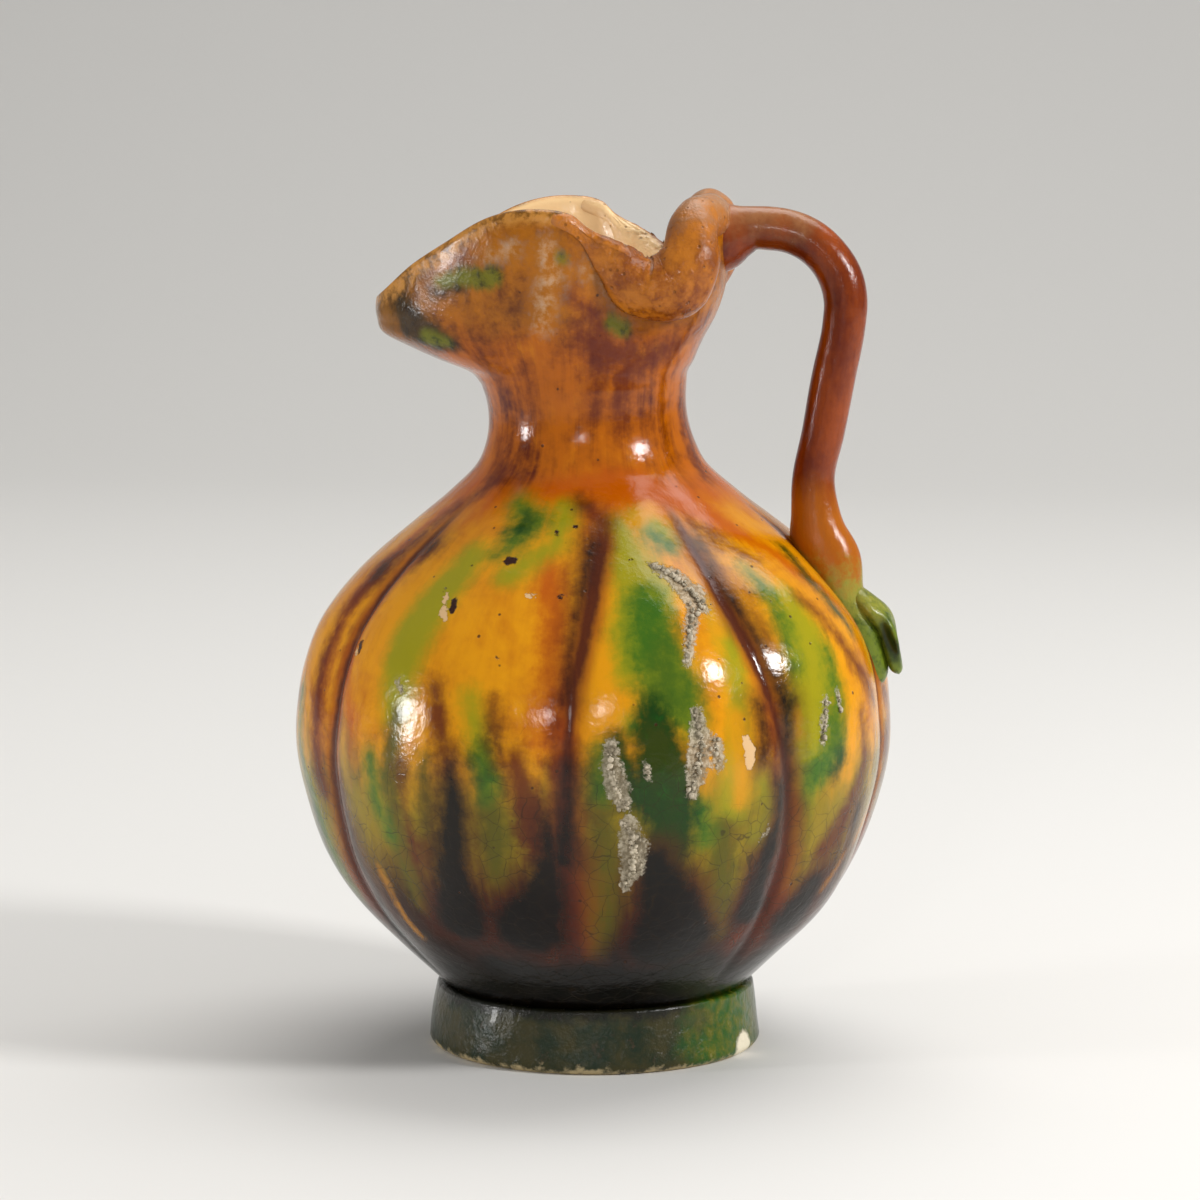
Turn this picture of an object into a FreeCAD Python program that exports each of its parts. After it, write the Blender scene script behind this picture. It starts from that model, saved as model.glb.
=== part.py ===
import FreeCAD, Part
import math
import os
import Sketcher
from FreeCAD import Placement, Rotation, Vector

# Oinochoe jug: a small lobed pouring jug with a pinched beak mouth and one tall handle.
# It stands on its foot ring at z = 0, with the axis of its belly on Z, its beak towards -X and its
# handle towards +X. It is built the way a potter builds it: a bowl and a shoulder luted at the belly,
# a neck, a pinched mouth with a rolled rim, a foot ring, and a handle with its root, base, tail and
# leaf. Every piece is a solid of its own, cut to the piece that it is luted to. Lengths are in mm.

# Driving dimensions
SIZES = {
    # foot ring
    "foot_height": 8.0,
    "foot_top_radius": 19.9,
    "foot_rim_radius": 20.9,
    "foot_bore_radius": 15.4,
    "foot_edge_round": 1.2,
    # bowl and shoulder
    "base_radius": 19.0,
    "belly_radius": 37.4,
    "bowl_height": 31.0,
    "shoulder_height": 34.5,
    "groove_depth": 1.2,
    "body_wall": 3.0,
    "floor_thickness": 3.2,
    "floor_radius": 16.0,
    # neck, which leans a little towards the beak
    "neck_base_radius": 14.0,
    "neck_waist_radius": 12.3,
    "neck_height": 9.7,
    "neck_wall": 2.8,
    "neck_lean": 1.4,
    # mouth
    "mouth_base_radius": 12.8,
    "mouth_height": 22.4,
    "mouth_half_width": 16.4,
    "mouth_back_reach": 18.4,
    "beak_reach": 25.9,
    "beak_drop": 11.8,
    "lip_wall": 1.9,
    # rolled rim
    "roll_radius": 3.1,
    # handle: the straight run on top and the bend; its shank is as long as the way down to the shoulder
    "handle_radius": 2.7,
    "handle_top_drop": 3.1,
    "handle_top_run": 2.0,
    "handle_bend_radius": 9.5,
    # handle root, pressed on the rolled rim
    "root_length": 6.1,
    "root_half_height": 4.9,
    "root_half_width": 4.3,
    "root_drop": 1.2,
    # handle base, spread on the shoulder, and the tail below it
    "base_half_depth": 4.4,
    "base_half_width": 3.5,
    "base_length": 8.1,
    "tail_half_depth": 2.9,
    "tail_half_width": 3.1,
    "tail_drop": 15.7,
    # leaf that ends the tail
    "leaf_half_depth": 1.4,
    "leaf_half_width": 3.2,
    "leaf_length": 10.5,
    # how far a cutting form runs past the piece that it trims
    "overrun": 2.0,
}

# Directions of the grooves round the body, in degrees from +X: pressed by hand, so not quite even
GROOVE_ANGLES = (-5.0, 40.0, 85.0, 130.0, 175.0, 219.5, 271.7, 313.9)

# Rings of the bowl: share of the bowl's height, of the swell from base to belly and of the groove depth
BOWL_SHARES = (
    (0.00, 0.00, 0.00),
    (0.16, 0.29, 0.35),
    (0.32, 0.56, 0.70),
    (0.52, 0.78, 1.00),
    (0.76, 0.93, 1.00),
    (1.00, 1.00, 1.00),
)
# Rings of the shoulder: share of its height, of the swell from neck to belly, of the groove depth and of
# the neck's lean
SHOULDER_SHARES = (
    (0.14, 0.99, 1.00, 0.00),
    (0.27, 0.96, 1.00, 0.00),
    (0.45, 0.86, 1.00, 0.00),
    (0.62, 0.66, 0.85, 0.00),
    (0.80, 0.345, 0.25, 0.06),
    (0.89, 0.175, 0.08, 0.18),
    (1.00, 0.00, 0.00, 0.42),
)
# Rings of the neck: share of its height, of the flare to its base, of the flare to the mouth and of the lean
NECK_SHARES = (
    (0.22, 0.42, 0.00, 0.52),
    (0.55, 0.03, 0.02, 0.70),
    (0.82, 0.00, 0.30, 0.86),
    (1.00, 0.00, 1.00, 1.00),
)
# Rings of the hollow: share of its height from floor to belly and of its swell
HOLLOW_BOWL_SHARES = (
    (0.00, 0.00),
    (0.12, 0.28),
    (0.28, 0.57),
    (0.48, 0.80),
    (0.74, 0.94),
    (1.00, 1.00),
)
# Rings of the hollow under the shoulder: share of its height, of its swell and of the neck's lean
HOLLOW_SHOULDER_SHARES = (
    (0.14, 0.985, 0.00),
    (0.27, 0.94, 0.00),
    (0.45, 0.82, 0.00),
    (0.62, 0.605, 0.00),
    (0.80, 0.30, 0.06),
    (0.89, 0.145, 0.18),
    (1.00, 0.00, 0.42),
)

# One side of the open mouth seen from above, from the back round to the beak: share of the reach from
# the neck's axis, back where positive, and of the half width
MOUTH_OUTLINE_SHARES = (
    (1.00, 0.00),
    (0.96, 0.25),
    (0.865, 0.45),
    (0.70, 0.56),
    (0.51, 0.61),
    (0.307, 0.78),
    (0.00, 0.97),
    (-0.16, 1.00),
    (-0.37, 0.92),
    (-0.58, 0.77),
    (-0.78, 0.56),
    (-0.94, 0.30),
    (-1.00, 0.00),
)
# Rings of the mouth's outside: share of its height, then how far the beak, the back, the width and the
# pinched outline have opened from the round neck
MOUTH_OUTSIDE_SHARES = (
    (0.00, 0.00, 0.00, 0.00, 0.00),
    (0.07, 0.11, 0.04, 0.05, 0.08),
    (0.135, 0.40, 0.19, 0.13, 0.20),
    (0.205, 0.68, 0.31, 0.25, 0.33),
    (0.275, 0.93, 0.45, 0.38, 0.46),
    (0.36, 1.00, 0.64, 0.52, 0.62),
    (0.52, 1.00, 0.88, 0.75, 0.86),
    (0.75, 1.00, 1.00, 0.97, 1.00),
    (1.06, 1.00, 1.00, 1.06, 1.00),
)
# Rings of the mouth's inside, the same way
MOUTH_INSIDE_SHARES = (
    (0.00, 0.00, 0.00, 0.00, 0.00),
    (0.12, 0.10, 0.16, 0.10, 0.12),
    (0.20, 0.34, 0.30, 0.22, 0.28),
    (0.275, 0.66, 0.45, 0.35, 0.42),
    (0.345, 0.92, 0.60, 0.48, 0.56),
    (0.43, 1.00, 0.76, 0.62, 0.72),
    (0.60, 1.00, 0.95, 0.83, 0.92),
    (0.80, 1.00, 1.00, 0.98, 1.00),
    (1.10, 1.00, 1.00, 1.06, 1.00),
)
# The rim seen from the side, from the beak over the side lobe and the pinch to the back: share of the
# reach, to the back where positive, and of the beak's drop from the top
RIM_SHARES = (
    (-1.15, 1.16),
    (-0.98, 0.94),
    (-0.80, 0.61),
    (-0.62, 0.36),
    (-0.41, 0.10),
    (-0.15, 0.00),
    (0.02, 0.06),
    (0.16, 0.27),
    (0.32, 0.52),
    (0.46, 0.64),
    (0.60, 0.64),
    (0.71, 0.46),
    (0.81, 0.22),
    (0.91, 0.15),
    (1.12, 0.14),
)

# The rolled rim on one side, from its thin start on the side lobe, down through the pinch, up and over
# the back: share of the mouth's reach at the back, of its half width, down from the top as a share of the
# mouth's height, and of the roll's radius
ROLL_SHARES = (
    (-0.22, 0.96, 0.045, 0.29),
    (0.03, 0.90, 0.116, 0.48),
    (0.213, 0.79, 0.286, 0.84),
    (0.394, 0.684, 0.43, 1.23),
    (0.591, 0.647, 0.42, 1.35),
    (0.701, 0.624, 0.277, 1.19),
    (0.709, 0.55, 0.152, 1.03),
    (0.729, 0.402, 0.08, 0.97),
    (0.772, 0.208, 0.07, 0.90),
    (0.788, 0.00, 0.076, 0.87),
)
# Where the root of the handle starts, inside the roll, as a share of the mouth's reach at the back
ROOT_START_SHARE = 0.734
# The root of the handle: share of its length, down from the handle's line as a share of its drop, and
# how far its height and width have opened from the handle's own
ROOT_SHARES = ((0.00, 1.00, 1.00), (0.45, 0.75, 0.72), (0.80, 0.25, 0.20), (1.00, 0.00, 0.00))
# Where the shank's line lands on the shoulder: share of the shoulder's height and of its swell there
LANDING_HEIGHT_SHARE = 0.70
LANDING_SWELL_SHARE = 0.50
# The handle's base: down the shank's line as a share of the way to the landing, outwards as a share of its
# own depth, and how far its depth and width have opened from the handle's own
BASE_SHARES = ((0.00, 0.00, 0.00), (0.45, 0.22, 0.22), (0.83, 0.48, 0.62), (1.11, 0.85, 0.70))
# The tail on the shoulder below the base: share of its drop, out from the shoulder as a share of its own
# depth, and share of its depth and width
TAIL_SHARES = ((0.30, -0.27, 1.04, 1.02), (0.60, -0.36, 0.88, 0.92), (1.00, -0.13, 0.55, 0.60))
# Where the leaf's foot lies on the tail, as a share of the leaf's length back from the tail's end
LEAF_START_SHARE = 1.05
# The leaf: down its length, outwards as a share of the tail's depth, and share of its depth and width
LEAF_SHARES = (
    (0.00, 1.05, 0.75, 0.45),
    (0.14, 1.35, 1.00, 0.80),
    (0.38, 1.32, 1.00, 1.00),
    (0.64, 1.12, 0.95, 0.95),
    (0.86, 0.84, 0.80, 0.65),
    (1.00, 0.50, 0.60, 0.35),
)
# Points round one oval section of a hand-pulled piece, and the degree of a surface through outlines
OVAL_POINTS = 12
LOFT_DEGREE = 3

# The document and its sheet of sizes
doc = FreeCAD.newDocument("oinochoe_jug")
sheet = doc.addObject("Spreadsheet::Sheet", "Sizes")
for row, (alias, size) in enumerate(SIZES.items(), start=1):
    sheet.set(f"A{row}", alias)
    sheet.set(f"B{row}", str(size))
    sheet.setAlias(f"B{row}", alias)
doc.recompute()

# Heights of the luted joints, as expressions on the sheet
BELLY_SEAM = "Sizes.foot_height + Sizes.bowl_height"
NECK_SEAM = f"{BELLY_SEAM} + Sizes.shoulder_height"
MOUTH_SEAM = f"{NECK_SEAM} + Sizes.neck_height"


def number(expression):
    """The plain number that an expression on the sheet comes to."""
    answer = sheet.evalExpression(expression)
    return float(getattr(answer, "Value", answer))


def mix(start, end, share):
    """The value that lies a share of the way from start to end."""
    return start + (end - start) * share


def mixed(start, end, share):
    """The same, as an expression on the sheet."""
    return f"({start} + (({end}) - ({start})) * {share})"


def origin_plane(body, role):
    """One of a body's own origin planes."""
    return [plane for plane in body.Origin.OriginFeatures if plane.Role == role][0]


def new_sketch(body, name, role, offset="0", sideways="0"):
    """An empty sketch on an origin plane, moved along its normal and sideways by expressions."""
    sketch = body.newObject("Sketcher::SketchObject", name)
    sketch.AttachmentSupport = [(origin_plane(body, role), "")]
    sketch.MapMode = "FlatFace"
    sketch.setExpression(".AttachmentOffset.Base.z", offset)
    sketch.setExpression(".AttachmentOffset.Base.x", sideways)
    return sketch


def bind(sketch, name, expression, *constraint):
    """Adds a dimension to a sketch and binds it to the sheet."""
    index = sketch.addConstraint(Sketcher.Constraint(*constraint, number(expression)))
    sketch.renameConstraint(index, name)
    sketch.setExpression(f"Constraints.{name}", expression)


def loft_body(name, rings):
    """A body whose solid runs through rings that are drawn by the given functions."""
    body = doc.addObject("PartDesign::Body", name)
    sketches = [draw(body, f"{name}_ring_{index}") for index, draw in enumerate(rings)]
    doc.recompute()
    loft = body.newObject("PartDesign::AdditiveLoft", f"{name}_loft")
    loft.Profile = sketches[0]
    loft.Sections = sketches[1:]
    loft.Ruled = False
    return body


def cut(name, base, *tools):
    """The base without what the tools cover."""
    for index, tool in enumerate(tools, start=1):
        trimmed = doc.addObject("Part::Cut", name if index == len(tools) else f"{name}_trim_{index}")
        trimmed.Base = base
        trimmed.Tool = tool
        base = trimmed
    return base


# The jug's body from the foot to the top of the neck


def lobed_ring(height, crest, groove, lean):
    """Draws a ring of the body: an arc for each lobe, from groove to groove over the lobe's crest."""
    valley = f"({crest} - {groove})"
    turns = list(zip(GROOVE_ANGLES, GROOVE_ANGLES[1:] + (GROOVE_ANGLES[0] + 360,)))

    def draw(body, name):
        sketch = new_sketch(body, name, "XY_Plane", height, lean)
        for start, end in turns:
            corners = ((start, valley), ((start + end) / 2, crest), (end, valley))
            through = [
                Vector(math.cos(math.radians(angle)), math.sin(math.radians(angle)), 0) * number(radius)
                for angle, radius in corners
            ]
            sketch.addGeometry(Part.ArcOfCircle(*through), False)
        for index in range(len(turns)):
            following = (index + 1) % len(turns)
            sketch.addConstraint(Sketcher.Constraint("Coincident", index, 2, following, 1))
        for index, (start, end) in enumerate(turns):
            half = (end - start) / 2
            rise = f"({crest} - {valley} * cos({half} deg))"
            radius = f"(({valley} * sin({half} deg))^2 + {rise}^2) / (2 * {rise})"
            along = f"{valley} * cos({start} deg)"
            across = f"{valley} * sin({start} deg)"
            bind(sketch, f"start_{index}_along", along, "DistanceX", -1, 1, index, 1)
            bind(sketch, f"start_{index}_across", across, "DistanceY", -1, 1, index, 1)
            bind(sketch, f"lobe_{index}", radius, "Radius", index)
        return sketch

    return draw


def round_ring(height, radius, lean):
    """Draws a round ring of the hollow."""

    def draw(body, name):
        sketch = new_sketch(body, name, "XY_Plane", height, lean)
        sketch.addGeometry(Part.Circle(Vector(), Vector(0, 0, 1), number(radius)), False)
        sketch.addConstraint(Sketcher.Constraint("Coincident", 0, 3, -1, 1))
        bind(sketch, "radius", radius, "Radius", 0)
        return sketch

    return draw


def neck_radius(flare_down, flare_up):
    """The neck's outer radius, flared to its base and to the mouth by shares."""
    lower = f"(Sizes.neck_base_radius - Sizes.neck_waist_radius) * {flare_down}"
    upper = f"(Sizes.mouth_base_radius - Sizes.neck_waist_radius) * {flare_up}"
    return f"(Sizes.neck_waist_radius + {lower} + {upper})"


def pot_rings():
    """The rings of the body's outside, foot to mouth."""
    rings = []
    for rise, swell, groove in BOWL_SHARES:
        height = mixed("Sizes.foot_height", BELLY_SEAM, rise)
        crest = mixed("Sizes.base_radius", "Sizes.belly_radius", swell)
        rings.append(lobed_ring(height, crest, f"Sizes.groove_depth * {groove}", "0"))
    for rise, swell, groove, lean in SHOULDER_SHARES:
        height = mixed(BELLY_SEAM, NECK_SEAM, rise)
        crest = mixed("Sizes.neck_base_radius", "Sizes.belly_radius", swell)
        depth = f"Sizes.groove_depth * {groove}"
        rings.append(lobed_ring(height, crest, depth, f"-Sizes.neck_lean * {lean}"))
    for rise, flare_down, flare_up, lean in NECK_SHARES:
        height = mixed(NECK_SEAM, MOUTH_SEAM, rise)
        crest = neck_radius(flare_down, flare_up)
        rings.append(lobed_ring(height, crest, "0", f"-Sizes.neck_lean * {lean}"))
    return rings


def hollow_rings():
    """The rings of the body's inside, from the floor through the neck."""
    floor = "Sizes.foot_height + Sizes.floor_thickness"
    belly = "Sizes.belly_radius - Sizes.groove_depth - Sizes.body_wall"
    throat = "Sizes.neck_base_radius - Sizes.neck_wall"
    rings = []
    for rise, swell in HOLLOW_BOWL_SHARES:
        height = mixed(floor, BELLY_SEAM, rise)
        rings.append(round_ring(height, mixed("Sizes.floor_radius", belly, swell), "0"))
    for rise, swell, lean in HOLLOW_SHOULDER_SHARES:
        height = mixed(BELLY_SEAM, NECK_SEAM, rise)
        rings.append(round_ring(height, mixed(throat, belly, swell), f"-Sizes.neck_lean * {lean}"))
    for rise, flare_down, flare_up, lean in NECK_SHARES:
        height = mixed(NECK_SEAM, MOUTH_SEAM, rise)
        radius = f"{neck_radius(flare_down, flare_up)} - Sizes.neck_wall"
        rings.append(round_ring(height, radius, f"-Sizes.neck_lean * {lean}"))
    rings.append(round_ring(f"{MOUTH_SEAM} + Sizes.overrun", radius, "-Sizes.neck_lean"))
    return rings


def slab(name, low, high):
    """A block that holds the body between two heights."""
    box = doc.addObject("Part::Box", name)
    side = "Sizes.belly_radius + Sizes.overrun"
    box.setExpression("Length", f"2 * ({side})")
    box.setExpression("Width", f"2 * ({side})")
    box.setExpression("Height", f"({high}) - ({low})")
    box.setExpression(".Placement.Base.x", f"-({side})")
    box.setExpression(".Placement.Base.y", f"-({side})")
    box.setExpression(".Placement.Base.z", low)
    return box


def slice_of_wall(name, low, high):
    """The part of the wall between two luted joints."""
    common = doc.addObject("Part::Common", name)
    common.Base = pot_wall
    common.Tool = slab(f"{name}_slab", low, high)
    return common


pot_form = loft_body("pot_form", pot_rings())
hollow_form = loft_body("hollow_form", hollow_rings())
pot_wall = cut("pot_wall", pot_form, hollow_form)
body_bowl = slice_of_wall("body_bowl", "Sizes.foot_height", BELLY_SEAM)
body_shoulder = slice_of_wall("body_shoulder", BELLY_SEAM, NECK_SEAM)
neck = slice_of_wall("neck", NECK_SEAM, MOUTH_SEAM)


# Foot ring


def make_foot_ring():
    """A splayed ring with a wide bore, turned, with its resting edges rounded."""
    body = doc.addObject("PartDesign::Body", "foot_ring")
    sketch = new_sketch(body, "foot_profile", "XZ_Plane")
    corners = [
        ("Sizes.foot_bore_radius", "0"),
        ("Sizes.foot_rim_radius", "0"),
        ("Sizes.foot_top_radius", "Sizes.foot_height"),
        ("Sizes.foot_bore_radius", "Sizes.foot_height"),
    ]
    points = [Vector(number(radius), number(height), 0) for radius, height in corners]
    for index, point in enumerate(points):
        sketch.addGeometry(Part.LineSegment(point, points[(index + 1) % len(points)]), False)
    for index in range(len(points)):
        sketch.addConstraint(Sketcher.Constraint("Coincident", index, 2, (index + 1) % len(points), 1))
    for index, (radius, height) in enumerate(corners):
        bind(sketch, f"radius_{index}", radius, "DistanceX", -1, 1, index, 1)
        if height == "0":
            sketch.addConstraint(Sketcher.Constraint("PointOnObject", index, 1, -1))
        else:
            bind(sketch, f"height_{index}", height, "DistanceY", -1, 1, index, 1)
    turned = body.newObject("PartDesign::Revolution", "foot_turned")
    turned.Profile = sketch
    turned.ReferenceAxis = (sketch, ["V_Axis"])
    turned.Angle = 360
    doc.recompute()
    resting = [
        f"Edge{index}"
        for index, edge in enumerate(turned.Shape.Edges, start=1)
        if edge.BoundBox.ZMax < number("Sizes.foot_height") / 2
    ]
    rounded = body.newObject("PartDesign::Fillet", "foot_rounded")
    rounded.Base = (turned, resting)
    rounded.setExpression("Radius", "Sizes.foot_edge_round")
    return body


foot_ring = make_foot_ring()


# Hand-formed pieces have another section at every place, so each runs through outlines set by hand


def shape_feature(name, shape):
    """A document object that holds a hand-formed shape."""
    feature = doc.addObject("Part::Feature", name)
    feature.Shape = shape
    feature.Placement = Placement(Vector(), Rotation())
    return feature


def smooth_ring(points):
    """A closed smooth outline through points."""
    curve = Part.BSplineCurve()
    curve.interpolate(Points=points, PeriodicFlag=True)
    return Part.Wire([curve.toShape()])


def through(outlines):
    """The solid through closed outlines."""
    return Part.makeLoft(outlines, True, False, False, LOFT_DEGREE)


def course_through(points, **ends):
    """The smooth course of a pulled piece, with the directions of its ends where they are given."""
    course = Part.BSplineCurve()
    course.interpolate(Points=points, **ends)
    return course


def pulled(course, stations):
    """A solid through oval sections across a course: the centre, half depth and half width of each."""
    depth_way = Vector(0, 1, 0).cross(course.tangent(course.FirstParameter)[0])
    rings = []
    for centre, half_depth, half_width in stations:
        heading = course.tangent(course.parameter(centre))[0].normalize()
        depth_way = (depth_way - heading * depth_way.dot(heading)).normalize()
        width_way = heading.cross(depth_way)
        points = []
        for step in range(OVAL_POINTS):
            turn = 2 * math.pi * step / OVAL_POINTS
            sideways = width_way * half_width * math.cos(turn)
            points.append(centre + sideways + depth_way * half_depth * math.sin(turn))
        rings.append(smooth_ring(points))
    return through(rings)


# Pinched mouth with its beak


def mouth_form(name, rings, inset_base, inset_lip):
    """The solid inside one skin of the mouth: its outside, or the hollow that is left by the wall."""
    base = number("Sizes.mouth_base_radius") - inset_base
    back = number("Sizes.mouth_back_reach") - inset_lip
    front = number("Sizes.beak_reach") - inset_lip
    width = number("Sizes.mouth_half_width") - inset_lip
    last = len(MOUTH_OUTLINE_SHARES) - 1
    outlines = []
    for rise, open_front, open_back, open_width, pinch in rings:
        height = number(MOUTH_SEAM) + number("Sizes.mouth_height") * rise
        side = []
        for index, (along_share, across_share) in enumerate(MOUTH_OUTLINE_SHARES):
            turn = math.pi * index / last
            reach = mix(base, back, open_back) if index < last / 2 else mix(base, front, open_front)
            along = reach * mix(math.cos(turn), along_share, pinch) - number("Sizes.neck_lean")
            across = mix(base, width, open_width) * mix(math.sin(turn), across_share, pinch)
            side.append(Vector(along, across, height))
        mirrored = [Vector(point.x, -point.y, point.z) for point in reversed(side[1:-1])]
        outlines.append(smooth_ring(side[-1:] + mirrored + side[:-1]))
    return shape_feature(name, through(outlines))


def rim_waste_form():
    """The clay above the rim, cut off from side to side."""
    lean = number("Sizes.neck_lean")
    top = number(MOUTH_SEAM) + number("Sizes.mouth_height")
    across = number("Sizes.mouth_half_width") + number("Sizes.overrun")
    points = []
    for along_share, drop_share in RIM_SHARES:
        reach = number("Sizes.mouth_back_reach") if along_share > 0 else number("Sizes.beak_reach")
        drop = number("Sizes.beak_drop") * drop_share
        points.append(Vector(reach * along_share - lean, -across, top - drop))
    rim = Part.BSplineCurve()
    rim.interpolate(Points=points)
    ceiling = top + number("Sizes.mouth_height")
    front = Vector(points[0].x, -across, ceiling)
    back = Vector(points[-1].x, -across, ceiling)
    sides = [(points[-1], back), (back, front), (front, points[0])]
    edges = [rim.toShape()] + [Part.LineSegment(*ends).toShape() for ends in sides]
    profile = Part.Face(Part.Wire(edges))
    return shape_feature("rim_waste", profile.extrude(Vector(0, 2 * across, 0)))


def rolled_rim():
    """The folded rim: thin on the side lobes, thick in the pinches and round the back, both sides alike."""
    top = number(MOUTH_SEAM) + number("Sizes.mouth_height")
    half = []
    for along_share, across_share, drop_share, radius_share in ROLL_SHARES:
        along = number("Sizes.mouth_back_reach") * along_share
        across = number("Sizes.mouth_half_width") * across_share
        height = top - number("Sizes.mouth_height") * drop_share
        radius = number("Sizes.roll_radius") * radius_share
        half.append((Vector(along, -across, height), radius, radius))
    centres = [station[0] for station in half]
    mirrored = [Vector(centre.x, -centre.y, centre.z) for centre in reversed(centres[:-1])]
    near = shape_feature("rim_roll_near", pulled(course_through(centres + mirrored), half))
    far = doc.addObject("Part::Mirroring", "rim_roll_far")
    far.Source = near
    far.Normal = Vector(0, 1, 0)
    roll = doc.addObject("Part::Fuse", "rim_roll")
    roll.Base = near
    roll.Tool = far
    return roll


mouth_outside = mouth_form("mouth_outside", MOUTH_OUTSIDE_SHARES, 0, 0)
wall_at_neck = number("Sizes.neck_wall")
wall_at_lip = number("Sizes.lip_wall")
mouth_inside = mouth_form("mouth_inside", MOUTH_INSIDE_SHARES, wall_at_neck, wall_at_lip)
rim_roll = rolled_rim()
mouth_wall = cut("mouth_wall", mouth_outside, rim_waste_form(), mouth_inside, rim_roll)

# Handle: a run on top, a bend, and a straight shank from the bend to where it lands on the shoulder
HANDLE_TOP = f"{MOUTH_SEAM} + Sizes.mouth_height - Sizes.handle_top_drop"
ROOT_START = f"Sizes.mouth_back_reach * {ROOT_START_SHARE}"
HANDLE_START = f"{ROOT_START} + Sizes.root_length"
LANDING_HEIGHT = mixed(BELLY_SEAM, NECK_SEAM, LANDING_HEIGHT_SHARE)
LANDING_REACH = mixed("Sizes.neck_base_radius", "Sizes.belly_radius", LANDING_SWELL_SHARE)


def shank_heading(turned, landing):
    """The direction of the shank, from the end of the bend down to the landing."""
    return (landing - turned).normalize()


def handle_corners():
    """The handle's line: start, crown, middle and end of its bend, end of the shank, and the landing."""
    bend = number("Sizes.handle_bend_radius")
    start = Vector(number(HANDLE_START), 0, number(HANDLE_TOP))
    crown = start + Vector(number("Sizes.handle_top_run"), 0, 0)
    centre = crown - Vector(0, 0, bend)
    landing = Vector(number(LANDING_REACH), 0, number(LANDING_HEIGHT))
    sight = landing - centre
    turn = math.atan2(sight.z, sight.x) + math.acos(bend / sight.Length)
    halfway = (turn + math.pi / 2) / 2
    middle = centre + Vector(math.cos(halfway), 0, math.sin(halfway)) * bend
    turned = centre + Vector(math.cos(turn), 0, math.sin(turn)) * bend
    end = landing - shank_heading(turned, landing) * number("Sizes.base_length")
    return start, crown, middle, turned, end, landing


def make_handle_loop():
    """The handle from its root over the bend and down the shank."""
    body = doc.addObject("PartDesign::Body", "handle_loop")
    line = new_sketch(body, "handle_line", "XZ_Plane")
    start, crown, middle, turned, end, landing = [Vector(p.x, p.z, 0) for p in handle_corners()]
    line.addGeometry(Part.LineSegment(start, crown), False)
    line.addGeometry(Part.ArcOfCircle(crown, middle, turned), False)
    line.addGeometry(Part.LineSegment(turned, end), False)
    line.addGeometry(Part.LineSegment(end, landing), True)
    line.addConstraint(Sketcher.Constraint("Horizontal", 0))
    line.addConstraint(Sketcher.Constraint("Tangent", 0, 2, 1, 2))
    line.addConstraint(Sketcher.Constraint("Tangent", 1, 1, 2, 1))
    line.addConstraint(Sketcher.Constraint("Coincident", 2, 2, 3, 1))
    line.addConstraint(Sketcher.Constraint("Parallel", 2, 3))
    bind(line, "start_along", HANDLE_START, "DistanceX", -1, 1, 0, 1)
    bind(line, "start_height", HANDLE_TOP, "DistanceY", -1, 1, 0, 1)
    bind(line, "top_run", "Sizes.handle_top_run", "DistanceX", 0, 1, 0, 2)
    bind(line, "bend", "Sizes.handle_bend_radius", "Radius", 1)
    bind(line, "base", "Sizes.base_length", "Distance", 3)
    bind(line, "landing_along", LANDING_REACH, "DistanceX", -1, 1, 3, 2)
    bind(line, "landing_height", LANDING_HEIGHT, "DistanceY", -1, 1, 3, 2)
    section = new_sketch(body, "handle_section", "YZ_Plane", HANDLE_START)
    centre = Vector(0, start.y, 0)
    section.addGeometry(Part.Circle(centre, Vector(0, 0, 1), number("Sizes.handle_radius")), False)
    section.addConstraint(Sketcher.Constraint("PointOnObject", 0, 3, -2))
    bind(section, "height", HANDLE_TOP, "DistanceY", -1, 1, 0, 3)
    bind(section, "radius", "Sizes.handle_radius", "Radius", 0)
    doc.recompute()
    pipe = body.newObject("PartDesign::AdditivePipe", "handle_pipe")
    pipe.Profile = section
    pipe.Spine = (line, ["Edge1", "Edge2", "Edge3"])
    return body


def handle_root_form():
    """The handle's upper end, pressed wide on the back of the mouth."""
    radius = number("Sizes.handle_radius")
    stations = []
    for along_share, drop_share, open_share in ROOT_SHARES:
        along = mix(number(ROOT_START), number(HANDLE_START), along_share)
        height = number(HANDLE_TOP) - number("Sizes.root_drop") * drop_share
        half_height = mix(radius, number("Sizes.root_half_height"), open_share)
        half_width = mix(radius, number("Sizes.root_half_width"), open_share)
        stations.append((Vector(along, 0, height), half_height, half_width))
    course = course_through([station[0] for station in stations], FinalTangent=Vector(1, 0, 0))
    return shape_feature("handle_root_form", pulled(course, stations))


def base_stations():
    """The handle's base, from the end of the shank into the shoulder."""
    radius = number("Sizes.handle_radius")
    turned, end, landing = handle_corners()[-3:]
    down = shank_heading(turned, landing)
    outward = Vector(-down.z, 0, down.x)
    stations = []
    for along_share, outward_share, open_share in BASE_SHARES:
        centre = end + down * number("Sizes.base_length") * along_share
        centre = centre + outward * number("Sizes.base_half_depth") * outward_share
        half_depth = mix(radius, number("Sizes.base_half_depth"), open_share)
        half_width = mix(radius, number("Sizes.base_half_width"), open_share)
        stations.append((centre, half_depth, half_width))
    return stations


def shoulder_reach(height):
    """How far the body's outside stands from the axis at a height, on the handle's side."""
    far = number("Sizes.belly_radius") + number("Sizes.overrun")
    ray = Part.makeLine(Vector(0, 0, height), Vector(far, 0, height))
    return ray.common(pot_form.Shape).BoundBox.XMax


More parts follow.
